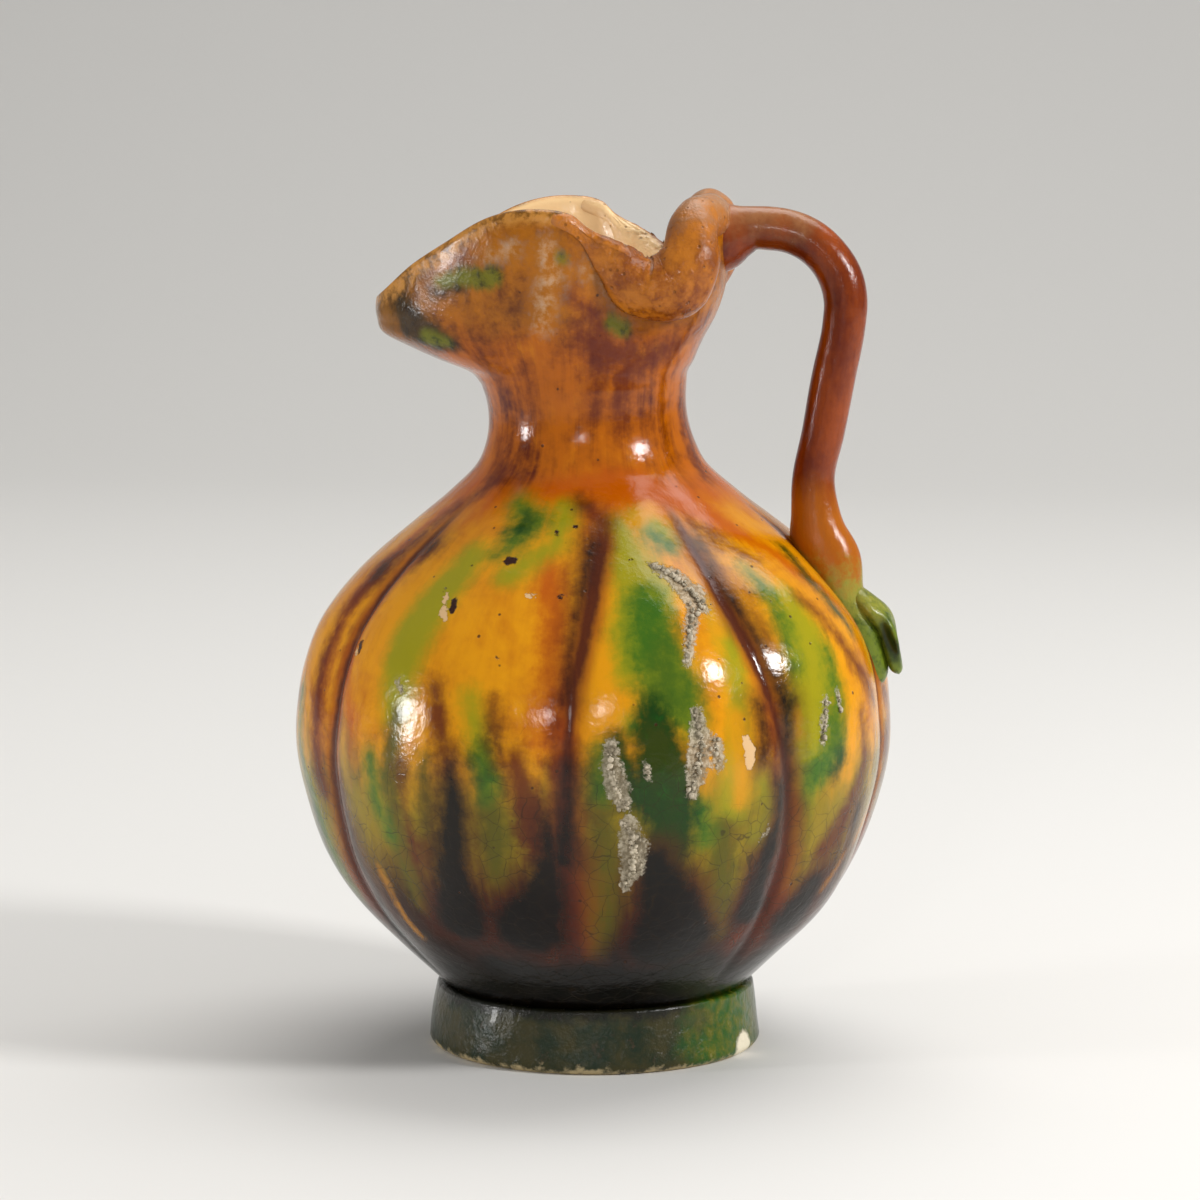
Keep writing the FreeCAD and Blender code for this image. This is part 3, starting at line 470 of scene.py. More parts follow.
# %% Strokes of glaze
PIXEL_MM = 0.125
STROKES = {
    "orange": (
        ((548, 560, 8), (557, 620, 13), (553, 700, 14), (548, 748, 12)),
        ((560, 490, 14), (640, 488, 20), (700, 512, 18), (745, 535, 12), (790, 565, 9), (835, 600, 8),
         (866, 632, 8), (884, 668, 8)),
        ((470, 490, 12), (420, 530, 10), (370, 580, 10), (332, 640, 8), (316, 710, 8), (320, 780, 8)),
        ((348, 650, 7), (352, 720, 9), (356, 780, 8)),
    ),
    "lime": (
        ((474, 556, 16), (442, 590, 22), (416, 628, 26), (402, 668, 22), (396, 710, 18)),
        ((566, 508, 12), (556, 545, 10), (510, 574, 12)),
        ((618, 528, 13), (630, 560, 22), (646, 592, 28), (632, 630, 22), (628, 670, 14)),
        ((640, 520, 12), (672, 534, 12)), ((690, 540, 8), (672, 538, 8)),
        ((782, 596, 12), (802, 634, 26), (814, 685, 34), (808, 735, 28), (800, 790, 22), (792, 840, 12)),
        ((740, 690, 8), (740, 750, 12), (730, 810, 14)), ((470, 700, 10), (480, 745, 12)),
        ((762, 780, 6), (768, 810, 6), (758, 835, 6)), ((630, 723, 5), (632, 728, 5)),
        ((714, 600, 6), (730, 640, 12), (740, 690, 12)),
    ),
    "olive": (
        ((396, 765, 9), (394, 810, 12), (404, 860, 12), (420, 905, 7)),
        ((424, 758, 8), (426, 800, 10), (430, 850, 7)), ((488, 800, 13), (494, 840, 19), (496, 875, 11)),
        ((600, 790, 9), (604, 870, 17), (598, 930, 18), (592, 962, 12)),
        ((722, 830, 14), (722, 880, 19), (716, 932, 14)), ((802, 800, 12), (800, 850, 9), (795, 880, 7)),
        ((398, 716, 7), (392, 750, 12), (386, 790, 12)), ((486, 742, 6), (482, 770, 9), (486, 800, 10)),
    ),
    "gold": (
        ((880, 770, 3), (868, 810, 4), (842, 858, 4), (822, 888, 3)), ((718, 598, 5), (720, 630, 6)),
        ((738, 720, 8), (742, 770, 9), (738, 802, 7)), ((382, 868, 2), (405, 915, 3), (422, 934, 3)),
        ((797, 715, 3), (799, 735, 3)), ((652, 507, 6), (636, 522, 6)), ((574, 800, 2), (578, 830, 2)),
    ),
    "green": (
        ((520, 505, 12), (530, 522, 20), (512, 545, 14), (498, 556, 8)), ((652, 534, 10), (668, 545, 8)),
        ((646, 600, 18), (652, 645, 26), (668, 690, 32), (690, 722, 18)), ((604, 755, 12), (598, 795, 9)),
        ((370, 760, 8), (378, 800, 10), (390, 835, 7)), ((478, 758, 12), (486, 782, 13), (482, 798, 9)),
        ((826, 650, 9), (838, 700, 15), (836, 748, 18), (812, 780, 15)),
        ((744, 566, 7), (768, 594, 10), (786, 630, 10), (794, 668, 8)), ((700, 812, 12), (706, 840, 10)),
        ((299, 690, 6), (302, 760, 8), (318, 830, 8), (345, 895, 8)),
    ),
    "bottle": (
        ((652, 700, 10), (656, 735, 22), (664, 780, 31), (672, 830, 26), (668, 868, 20)),
        ((616, 738, 7), (628, 770, 10), (640, 800, 14)), ((844, 757, 7), (838, 775, 7)),
        # next stroke: dark glaze in the gap under the handle's base, with painted shade there
        ((784, 548, 6), (808, 578, 7), (834, 608, 6), (850, 630, 4)),
        ((300, 745, 4), (306, 800, 5), (330, 870, 6)), ((528, 518, 6), (520, 532, 5)),
    ),
    "red": (
        ((458, 505, 8), (415, 541, 9), (380, 573, 9), (345, 613, 10), (322, 662, 11), (314, 722, 11),
         (318, 790, 9)),
        ((436, 548, 4), (395, 583, 4), (352, 632, 4), (338, 690, 4), (335, 760, 5), (346, 830, 5)),
        ((500, 478, 7), (472, 497, 7)), ((690, 522, 6), (720, 541, 8), (752, 560, 6)),
        ((893, 690, 8), (891, 740, 12), (882, 800, 12), (855, 850, 10), (820, 900, 9)),
        ((862, 712, 4), (866, 760, 7), (848, 812, 10), (826, 850, 12)),
        ((800, 600, 3), (834, 634, 5), (856, 664, 6), (874, 700, 8)),
        ((872, 646, 5), (886, 676, 9), (891, 720, 10)), ((514, 758, 8), (528, 800, 15), (536, 850, 14)),
        ((492, 702, 4), (494, 738, 7), (502, 762, 5)), ((565, 690, 5), (560, 740, 9), (556, 770, 9)),
        ((771, 712, 8), (772, 750, 9), (775, 775, 6)), ((402, 764, 3), (408, 816, 4), (418, 862, 5)),
        ((434, 686, 5), (440, 724, 9), (446, 765, 10)),
        # the next four strokes are painted shadow under the overhanging fold of the rim
        ((568, 296, 6), (588, 306, 9), (602, 326, 12), (596, 345, 10)),
        ((582, 336, 12), (612, 354, 15), (652, 354, 14), (694, 336, 8), (710, 315, 4)),
        ((600, 362, 13), (598, 390, 9), (592, 414, 6)), ((630, 366, 12), (616, 398, 7), (618, 430, 3)),
        ((498, 440, 5), (490, 480, 7)), ((578, 500, 7), (600, 518, 9), (604, 545, 6)),
        ((686, 400, 3), (690, 440, 4), (704, 478, 5)),
    ),
    "night": (
        ((450, 768, 9), (452, 810, 14), (452, 860, 18), (460, 920, 30)),
        ((545, 820, 6), (548, 850, 11), (546, 888, 20), (530, 930, 38)),
        ((566, 765, 4), (568, 810, 8), (562, 860, 12)), ((655, 862, 15), (668, 902, 28), (670, 940, 46)),
        ((783, 780, 7), (780, 820, 9), (765, 860, 12), (748, 910, 20)),
        ((758, 700, 3), (764, 735, 3), (762, 760, 3)),
        ((696, 540, 3), (716, 576, 5), (746, 620, 6), (769, 666, 6), (786, 704, 6), (787, 780, 6)),
        ((592, 545, 3), (580, 600, 3), (572, 640, 3), (566, 700, 3)), ((815, 884, 14), (790, 920, 26)),
        ((338, 790, 4), (352, 840, 6), (378, 890, 11), (405, 938, 24)),
        # the last stroke on the next line is painted shade where the bowl curves under above the foot
        ((860, 806, 4), (848, 850, 5), (822, 897, 11)), ((590, 978, 24), (700, 968, 24), (500, 968, 24)),
        ((436, 543, 2), (430, 548, 2)), ((384, 566, 3), (380, 572, 3)),
    ),
    "crust": (
        ((652, 565, 6), (672, 574, 11), (692, 592, 16), (704, 606, 9)),
        ((694, 604, 9), (690, 640, 6), (686, 664, 4)),
        ((696, 712, 7), (702, 742, 13), (698, 772, 12), (692, 795, 6)), ((716, 742, 8), (720, 765, 7)),
        ((612, 742, 7), (610, 768, 11), (618, 792, 13), (626, 808, 6)),
        ((628, 824, 9), (634, 848, 15), (632, 870, 12), (626, 890, 4)), ((646, 765, 4), (650, 780, 3)),
        ((826, 700, 5), (825, 722, 6), (824, 742, 4)), ((838, 692, 4), (841, 712, 4)),
        ((760, 838, 3), (768, 826, 4)), ((398, 682, 4), (402, 692, 3)),
    ),
    "bare": (
        ((747, 740, 5), (750, 752, 6), (750, 764, 6)), ((529, 597, 4), (534, 595, 3)),
        ((446, 594, 3), (442, 612, 4), (446, 620, 3)), ((356, 650, 3), (359, 655, 3)),
    ),
    "pit": (
        ((454, 600, 4), (452, 612, 3)), ((362, 644, 4), (360, 654, 3)), ((509, 561, 6), (513, 561, 5)),
        ((560, 597, 3), (562, 597, 3)), ((497, 658, 2), (498, 658, 2)), ((575, 527, 2), (576, 527, 2)),
        ((556, 532, 2), (558, 536, 2)), ((445, 588, 2), (444, 589, 2)), ((631, 560, 2), (632, 560, 2)),
    ),
    "beak_dark_and_root_shade": (
        ((402, 303, 12), (412, 322, 18), (430, 336, 17), (450, 344, 9)), ((436, 292, 5), (462, 288, 5)),
        # the next stroke is painted shade in the hollow where the handle's root meets the roll
        ((704, 232, 2), (714, 244, 5), (718, 256, 3)),
    ),
    "beak_green": (
        ((440, 282, 4), (462, 277, 7), (484, 280, 9), (494, 276, 8)), ((612, 322, 6), (622, 328, 7)),
        ((561, 257, 3), (562, 260, 3)), ((430, 338, 8), (446, 342, 5)),
    ),
    # painted sheen: pale streaks on the near wall of the mouth and along its pinch crease
    "pale_sheen": (
        ((486, 254, 4), (512, 250, 6)), ((545, 250, 8), (552, 270, 9), (546, 300, 8), (542, 325, 6)),
        ((590, 270, 3), (612, 292, 5), (637, 316, 5)), ((620, 262, 4), (632, 276, 5)),
    ),
}


def strokes_in_space(strokes):
    """Strokes as runs of points on the jug with half widths in mm."""
    return [[(on_jug(across, down), width * PIXEL_MM) for across, down, width in run] for run in strokes]


def moved(strokes, change):
    """The same strokes with each of their points changed."""
    return [[(change @ place, width) for place, width in run] for run in strokes]


FAR_SIDE_TURN = math.radians(187.0)
far_cos, far_sin = math.cos(FAR_SIDE_TURN), math.sin(FAR_SIDE_TURN)
turned_round = np.array(((far_cos, -far_sin, 0), (far_sin, far_cos, 0), (0, 0, 1)))
mirrored = np.diag((1, -1, 1))
placed = {}
for name, strokes in STROKES.items():
    near_strokes = strokes_in_space(strokes)
    low_strokes = [run for run in near_strokes if run[0][0][2] < neck_seam]
    high_strokes = [run for run in near_strokes if run[0][0][2] >= neck_seam]
    placed[name] = near_strokes + moved(low_strokes, turned_round) + moved(high_strokes, mirrored)
    print(name, len(placed[name]), "strokes")


# %% Paint the pot
# How soft the edge of a stroke is, in mm
SOFT_EDGE = 2.6
EDGES = {"crust": 1.1, "bare": 0.5, "pit": 0.5, "night": 2.4, "gold": 1.6}
EDGES |= {"beak_dark_and_root_shade": 1.6, "beak_green": 1.4, "pale_sheen": 2.4}


def painted(points, strokes, edge):
    """How far inside the strokes each point lies, counted in edge widths: 0 at the edge, from -2 to 2."""
    field = np.full(len(points), -2.0)
    for run in strokes:
        for (start, wide), (end, narrow) in zip(run, run[1:]):
            reach = max(wide, narrow) + 2 * edge
            low, high = np.minimum(start, end) - reach, np.maximum(start, end) + reach
            near = np.flatnonzero(((points > low) & (points < high)).all(1))
            if len(near) == 0:
                continue
            way = end - start
            share = np.clip((points[near] - start) @ way / max(way @ way, 1e-9), 0, 1)
            off = np.linalg.norm(points[near] - start - share[:, None] * way, axis=1)
            field[near] = np.maximum(field[near], (mixed(wide, narrow, share) - off) / edge)
    return np.clip(field, -2.0, 2.0)


def write_field(piece, name, values):
    """Keeps a field on a piece for its material to read."""
    layer = piece.data.attributes.new(name, "FLOAT", "POINT")
    layer.data.foreach_set("value", np.asarray(values, np.float32))


def paint(piece, skin):
    """Writes every glaze field on the jug's wall; inside it every splash is left out."""
    points = read_points(piece)
    for name, strokes in placed.items():
        write_field(piece, name, painted(points, strokes, EDGES.get(name, SOFT_EDGE)) - 3 * (skin > 0.5))
    turn = np.arctan2(points[:, 1], points[:, 0])
    write_field(piece, "groove_gap", np.clip(grooves_at(turn, points[:, 2])[0], 0, 20))
    write_field(piece, "inside", skin)
    rim = rim_over(np.arctan2(points[:, 1], points[:, 0] + LEAN))
    write_field(piece, "under_rim", np.clip(rim - points[:, 2], 0, 40))


paint(pot, pot_skin)
print("fields:", [layer.name for layer in pot.data.attributes if layer.name in placed])

# %% [markdown]
# ## Cutting the pot where its pieces were joined
#
# The bowl, the shoulder, the neck and the mouth were luted to one another, so each is a piece of its own.
# The pressed pot is cut at its seams. Each cut is closed by bridging its two open edges, and each
# point keeps the direction that it had on the whole pot, so no seam shows through the glaze.

# %% Cut the pot apart
def normals_of(piece):
    """The direction of every point of a piece."""
    flat = np.empty(len(piece.data.vertices) * 3)
    piece.data.vertex_normals.foreach_get("vector", flat)
    return flat.reshape(-1, 3)


def keep_normals(piece, way):
    """Shades a piece smoothly with the directions that are given for its points."""
    piece.data.shade_smooth()
    piece.data.normals_split_custom_set_from_vertices(way)


def part_of_pot(name, low, high):
    """The stretch of the pot between two heights in mm, closed at its cuts, as a piece of its own."""
    bpy.ops.object.select_all(action="DESELECT")
    bpy.context.view_layer.objects.active = pot
    pot.select_set(True)
    bpy.ops.object.duplicate()
    piece = bpy.context.object
    piece.name = piece.data.name = name
    edit = bmesh.new()
    edit.from_mesh(piece.data)
    way = edit.verts.layers.float_vector.new("way")
    for vert in edit.verts:
        vert[way] = vert.normal
    beyond = [face for face in edit.faces if not low < face.calc_center_median().z / MM < high]
    bmesh.ops.delete(edit, geom=beyond, context="FACES")
    for seam in (low, high):
        cut = [edge for edge in edit.edges if edge.is_boundary and abs(edge.verts[0].co.z / MM - seam) < 0.01]
        if cut:
            bmesh.ops.bridge_loops(edit, edges=cut)
    bmesh.ops.recalc_face_normals(edit, faces=edit.faces)
    edit.verts.ensure_lookup_table()
    kept = np.array([vert[way][:] for vert in edit.verts])
    edit.to_mesh(piece.data)
    edit.free()
    keep_normals(piece, kept)
    return piece


JUG_PIECES = []
for name, node, low, high in (
    ("bowl", "body_bowl", 0, belly_seam),
    ("shoulder", "body_shoulder", belly_seam, neck_seam),
    ("neck_waist", "neck", neck_seam, mouth_seam),
    ("mouth", "mouth_wall", mouth_seam, mouth_top + 9),
):
    piece = part_of_pot(name, low, high)
    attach(piece, "root")
    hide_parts(node)
    JUG_PIECES.append(piece)
    print(name, len(piece.data.polygons), "faces")
bpy.data.objects.remove(pot)

# %% [markdown]
# ## The folded rim
#
# Round the back of the mouth the rim was folded outwards and rolled down. It is a roll of clay: thin where
# it comes out of the side lobes, thick in the pinches, thin again where the handle is pressed on it.
# It is drawn as ovals along a soft course, with the unevenness that fingers leave.

# %% Pull a tube of clay
def close_stations(stations, spacing):
    """Close stations along a soft course through a few of them: along, across, height and half sizes."""
    table = np.array(stations, float)
    travelled = np.concatenate(([0], np.cumsum(np.linalg.norm(np.diff(table[:, :3], axis=0), axis=1))))
    at = np.linspace(0, travelled[-1], int(travelled[-1] / spacing) + 1)
    return np.stack([smooth_through(travelled, table[:, i], at) for i in range(table.shape[1])], 1)


def rounded_off(stations, spacing, length, least, first_too=True):
    """Stations whose ovals close in over a length at the last end, and at the first too."""
    steps = np.arange(len(stations))
    from_end = np.minimum(steps, steps[::-1]) if first_too else steps[::-1]
    share = np.clip(from_end * spacing / length, 0, 1)
    stations[:, 3:] *= np.sqrt(np.maximum(1 - (1 - share) ** 2, least))[:, None]
    return stations


def closed_tube(name, rings, end_middles):
    """A smooth tube through rings of points in mm, closed round a middle point at each end."""
    count, around = rings.shape[:2]

    def corner(ring, step):
        return ring * around + step % around

    faces = [
        (corner(ring, step), corner(ring, step + 1), corner(ring + 1, step + 1), corner(ring + 1, step))
        for ring in range(count - 1)
        for step in range(around)
    ]
    for step in range(around):
        faces.append((count * around, corner(0, step + 1), corner(0, step)))
        faces.append((count * around + 1, corner(count - 1, step), corner(count - 1, step + 1)))
    piece = new_piece(name, np.concatenate((rings.reshape(-1, 3), end_middles)), faces=faces)
    edit = bmesh.new()
    edit.from_mesh(piece.data)
    bmesh.ops.recalc_face_normals(edit, faces=edit.faces)
    edit.to_mesh(piece.data)
    edit.free()
    piece.data.shade_smooth()
    return piece


def pulled(name, stations, around, lumps):
    """A closed form of ovals: each station has its middle in mm, a half depth and a half width."""
    middles = stations[:, :3]
    headings = np.gradient(middles, axis=0)
    headings /= np.linalg.norm(headings, axis=1)[:, None]
    turns = np.linspace(0, 2 * math.pi, around, endpoint=False)
    depth_way = np.cross((0, 1, 0), headings[0])
    rings = []
    for middle, heading, depth, width in zip(middles, headings, stations[:, 3], stations[:, 4]):
        depth_way = depth_way - heading * (depth_way @ heading)
        depth_way /= np.linalg.norm(depth_way)
        width_way = np.cross(heading, depth_way)
        sideways = np.outer(np.cos(turns) * width, width_way)
        rings.append(middle + sideways + np.outer(np.sin(turns) * depth, depth_way))
    points = np.concatenate(rings)
    outward = points - np.repeat(middles, around, axis=0)
    points = points + outward * lumps(points)[:, None]
    return closed_tube(name, points.reshape(-1, around, 3), (middles[0], middles[-1]))


# %% Pull the roll
# From a side lobe to the handle: shares along and across the mouth, of its height and of the roll's radius
ROLL_SHARES = (
    (-0.22, 0.960, 0.045, 0.29), (0.03, 0.900, 0.116, 0.48), (0.213, 0.790, 0.286, 0.84),
    (0.394, 0.684, 0.430, 1.23), (0.591, 0.647, 0.420, 1.35), (0.701, 0.624, 0.277, 1.19),
    (0.709, 0.550, 0.152, 1.03), (0.729, 0.402, 0.080, 0.97), (0.772, 0.208, 0.070, 0.90),
    (0.788, 0.000, 0.076, 0.87),
)
ROLL_RADIUS, SPACING, AROUND = 3.1, 0.4, 48
near_half = [
    (BACK_REACH * along, -HALF_WIDTH * across, mouth_top - mouth_height * drop, *[ROLL_RADIUS * radius] * 2)
    for along, across, drop, radius in ROLL_SHARES
]
far_half = [(x, -y, z, depth, width) for x, y, z, depth, width in near_half[-2::-1]]
roll_stations = rounded_off(close_stations(near_half + far_half, SPACING), SPACING, 1.1, 0.02)
roll = pulled("rolled_rim", roll_stations, AROUND, lambda at: hand_waves(at, 11, 9, 3.5) * 0.055)
print("roll:", len(roll.data.polygons), "faces")

# %% Press the roll's ends on the lip
FLAT_BEFORE, THINNEST, SWELLS_BY = 8.0, 0.12, 14.0
mouth_edit = bmesh.new()
mouth_edit.from_mesh(bpy.data.objects["mouth"].data)
mouth_surface = BVHTree.FromBMesh(mouth_edit)
mouth_edit.free()
roll_points = read_points(roll)
for index in np.flatnonzero(roll_points[:, 0] < FLAT_BEFORE):
    met, facing, _, away = mouth_surface.find_nearest(Vector(roll_points[index] * MM))
    onto, facing = np.array(met) / MM, np.array(facing)
    if (roll_points[index] - onto) @ facing > 0:
        let_out = THINNEST + SWELLS_BY * max(roll_points[index, 0] / FLAT_BEFORE, 0.0) ** 3
        roll_points[index] = onto + facing * let_out * math.tanh(away / MM / let_out)
write_points(roll, roll_points)
roll_line = roll_stations[:, :3]
roll_middles = np.concatenate((np.repeat(roll_line, AROUND, axis=0), roll_line[:1], roll_line[-1:]))
inward = np.stack((3.0 - roll_middles[:, 0], -roll_middles[:, 1]), 1)
inward /= np.linalg.norm(inward, axis=1)[:, None]
leans_in = ((roll_points - roll_middles)[:, :2] * inward).sum(1) / 1.5
write_field(roll, "inside", np.clip(leans_in, 0, 1) * np.clip((9.0 - roll_points[:, 0]) / 3.0, 0, 1))
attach(roll, "root")
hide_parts("rim_roll")
JUG_PIECES.append(roll)
print("pressed roll:", roll_points.min(0).round(1), roll_points.max(0).round(1))

# %% [markdown]
# ## The handle
#
# The handle was pulled from one length of clay: pressed wide on the back of the roll, drawn round over the
# bend, and spread again on the shoulder, where it runs out in a tail. The whole line is made first, and
# then cut into the pieces of the frame, with the directions of the whole line kept across each cut.

# %% The handle's course
HANDLE_RADIUS, TOP_DROP, TOP_RUN, BEND_RADIUS = 2.7, 3.1, 2.0, 9.5
ROOT_LENGTH, ROOT_HALF_HEIGHT, ROOT_HALF_WIDTH, ROOT_DROP = 6.1, 4.9, 4.3, 1.2
BASE_HALF_DEPTH, BASE_HALF_WIDTH, BASE_LENGTH = 4.4, 3.5, 8.1
TAIL_HALF_DEPTH, TAIL_HALF_WIDTH, TAIL_DROP = 2.9, 3.1, 15.7
# Root: shares of the way to the handle, of the drop and of the opening
ROOT_SHARES = ((0.00, 1.00, 1.00), (0.45, 0.75, 0.72), (0.80, 0.25, 0.20))
# Base: shares of its length, of the way out and of the opening
BASE_SHARES = ((0.00, 0.00, 0.00), (0.45, 0.22, 0.22), (0.83, 0.48, 0.62), (1.11, 0.85, 0.70))
# Tail: shares of its drop, of the way out, of its half depth and of its half width
TAIL_SHARES = ((0.30, -0.27, 1.04, 1.02), (0.60, -0.36, 0.88, 0.92), (1.00, -0.13, 0.55, 0.60))

handle_top = mouth_top - TOP_DROP
root_start = BACK_REACH * 0.734
handle_start = root_start + ROOT_LENGTH
bend_middle = np.array((handle_start + TOP_RUN, 0.0, handle_top - BEND_RADIUS))
landing = np.array((mixed(NECK_BASE_RADIUS, BELLY_RADIUS, 0.50), 0.0, mixed(belly_seam, neck_seam, 0.70)))
sight = landing - bend_middle
last_turn = math.atan2(sight[2], sight[0]) + math.acos(BEND_RADIUS / np.linalg.norm(sight))


def on_bend(turn):
    """A place on the handle's bend."""
    return bend_middle + np.array((math.cos(turn), 0, math.sin(turn))) * BEND_RADIUS


def opened(middle, share, tall, wide):
    """A station whose half sizes lie a share of the way from the handle's radius to wider ones."""
    return (*middle, mixed(HANDLE_RADIUS, tall, share), mixed(HANDLE_RADIUS, wide, share))


down = (landing - on_bend(last_turn)) / np.linalg.norm(landing - on_bend(last_turn))
outward = np.array((-down[2], 0, down[0]))
shank_end = landing - down * BASE_LENGTH
line = []
for along, drop, opening in ROOT_SHARES:
    middle = (mixed(root_start, handle_start, along), 0, handle_top - ROOT_DROP * drop)
    line.append(opened(middle, opening, ROOT_HALF_HEIGHT, ROOT_HALF_WIDTH))
root_to = len(line)
line.append((handle_start, 0, handle_top, HANDLE_RADIUS, HANDLE_RADIUS))
line += [(*on_bend(turn), HANDLE_RADIUS, HANDLE_RADIUS) for turn in np.linspace(math.pi / 2, last_turn, 9)]
for share in (0.33, 0.67):
    line.append((*mixed(on_bend(last_turn), shank_end, share), HANDLE_RADIUS, HANDLE_RADIUS))
base_from = len(line)
for along, out, opening in BASE_SHARES:
    middle = shank_end + down * BASE_LENGTH * along + outward * BASE_HALF_DEPTH * out
    line.append(opened(middle, opening, BASE_HALF_DEPTH, BASE_HALF_WIDTH))
tail_from = len(line) - 1
tail_top = line[-1][2]
for drop, out, depth, width in TAIL_SHARES:
    height = tail_top - TAIL_DROP * drop
    wall = float(outside_radius(height)) - GROOVE_DEPTH * float(ring_value(outside_rings, 2, height)) * 0.8
    line.append((wall + TAIL_HALF_DEPTH * out, 0, height, TAIL_HALF_DEPTH * depth, TAIL_HALF_WIDTH * width))
print("handle drawn through", len(line), "ovals")

# %% Pull the handle and cut it
handle_line = rounded_off(close_stations(line, SPACING), SPACING, 2.2, 0.02, first_too=False)
handle_whole = pulled("handle_whole", handle_line, AROUND, lambda at: hand_waves(at, 21, 30, 7) * 0.035)
handle_points, handle_normals = read_points(handle_whole), normals_of(handle_whole)


def nearest_station(place):
    """The ring of the handle nearest to a place of its line."""
    return int(np.argmin(np.linalg.norm(handle_line[:, :3] - np.array(place[:3]), axis=1)))


def stretch_of_handle(name, start, end):
    """The handle between two of its rings, closed at both ends."""
    keep = slice(start * AROUND, (end + 1) * AROUND)
    rings = handle_points[keep].reshape(-1, AROUND, 3)
    piece = closed_tube(name, rings, (rings[0].mean(0), rings[-1].mean(0)))
    ends = handle_line[[start, end], :3] - handle_line[[start + 1, end - 1], :3]
    keep_normals(piece, np.concatenate((handle_normals[keep], ends / np.linalg.norm(ends, axis=1)[:, None])))
    return piece


loop_from, loop_to = nearest_station(line[root_to]), nearest_station(line[base_from])
tail_cut = nearest_station(line[tail_from])
for name, node, start, end in (
    ("root_press", "handle_root", 0, loop_from),
    ("loop", "handle_loop", loop_from, loop_to),
    ("base_press", "handle_base", loop_to, tail_cut),
    ("tail", "handle_tail", tail_cut, len(handle_line) - 1),
):
    piece = stretch_of_handle(name, start, end)
    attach(piece, "root")
    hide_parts(node)
    JUG_PIECES.append(piece)
    print(name, len(piece.data.polygons), "faces")
bpy.data.objects.remove(handle_whole)

# %% [markdown]
# ## The leaf
#
# The tail ends in a small leaf that curls up from the belly. It is a thin pulled oval, dented with a
# fingertip on its outer face and hollowed from both sides, so that a thin edge is left standing.

# %% Pull the leaf
LEAF_HALF_DEPTH, LEAF_HALF_WIDTH, LEAF_LENGTH, LEAF_SPACING, LEAF_AROUND = 1.4, 3.2, 10.5, 0.25, 56
# Shares of the leaf's length, of the tail's half depth on the way out, and of its own half depth and width
LEAF_SHARES = (
    (-0.12, 0.20, 0.95, 0.62), (0.10, 0.72, 1.05, 0.86), (0.34, 1.14, 1.05, 1.00),
    (0.62, 1.16, 0.95, 0.95), (0.86, 1.06, 0.78, 0.62), (1.00, 0.98, 0.56, 0.36),
)
tail_end, tail_before = np.array(line[-1][:3]), np.array(line[-2][:3])
slope = (tail_end - tail_before) / np.linalg.norm(tail_end - tail_before)
slope_out = np.array((-slope[2], 0, slope[0]))
leaf_start = tail_end - slope * LEAF_LENGTH * 1.05
leaf_line = []
for along, out, depth, width in LEAF_SHARES:
    middle = leaf_start + slope * LEAF_LENGTH * along + slope_out * TAIL_HALF_DEPTH * out
    leaf_line.append((*middle, LEAF_HALF_DEPTH * depth, LEAF_HALF_WIDTH * width))
leaf_stations = rounded_off(close_stations(leaf_line, LEAF_SPACING), LEAF_SPACING, 1.0, 0.03)
leaf = pulled("leaf", leaf_stations, LEAF_AROUND, lambda at: hand_waves(at, 31, 8, 3) * 0.08)
print("leaf:", len(leaf.data.polygons), "faces")

# %% Dent and hollow the leaf
DENT_DEPTH, DENT_WIDTH, HOLLOW_DEPTH, HOLLOW_LENGTH, HOLLOW_HEIGHT = 1.1, 1.7, 1.5, 3.4, 0.9
leaf_points, leaf_normals = read_points(leaf), normals_of(leaf)
dent_at = mixed(leaf_start, tail_end, 0.62) + slope_out * (TAIL_HALF_DEPTH * 1.0 + LEAF_HALF_DEPTH)
dent_away = np.linalg.norm((leaf_points - dent_at) * (0.8, 1.1, 0.6), axis=1)
dent = DENT_DEPTH * np.exp(-((dent_away / DENT_WIDTH) ** 2)) * (leaf_normals @ slope_out > 0)
leaf_points -= slope_out * dent[:, None]
from_middle = leaf_points - mixed(leaf_start, tail_end, 0.56) - slope_out * TAIL_HALF_DEPTH * 1.14
lengthwise, outwards = from_middle @ slope / HOLLOW_LENGTH, from_middle @ slope_out / HOLLOW_HEIGHT
hollow = np.exp(-(lengthwise**2) - outwards**2)
leaf_points[:, 1] -= HOLLOW_DEPTH * hollow * np.tanh(leaf_points[:, 1])
write_points(leaf, leaf_points)
write_field(leaf, "hollow", hollow)
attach(leaf, "root")
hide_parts("tail_leaf")
JUG_PIECES.append(leaf)
print("hollowed leaf:", leaf_points.min(0).round(1), leaf_points.max(0).round(1))

# %% [markdown]
# ## The foot
#
# A ring of clay under the bowl, turned with a slight splay and then worn uneven at its resting edge. One
# chip at the right of the near side shows the pale clay.

# %% Spin the foot
FOOT_TOP, FOOT_RIM, FOOT_BORE, FOOT_ROUND, EDGE_ROUND, SPLAY_TURN = 19.9, 20.9, 15.4, 1.2, 0.5, -7


def run_of(start, end, spacing):
    """Points from one corner towards the next."""
    count = max(2, int(math.dist(start, end) / spacing))
    shares = np.linspace(0, 1, count + 1)[:-1]
    return [tuple(mixed(np.array(start), np.array(end), share)) for share in shares]


def rounded_corner(middle, radius, first, last):
    """Points round a corner, for two turns in degrees."""
    turns = np.radians(np.linspace(first, last, 7))
    return [(middle[0] + radius * math.cos(turn), middle[1] + radius * math.sin(turn)) for turn in turns]


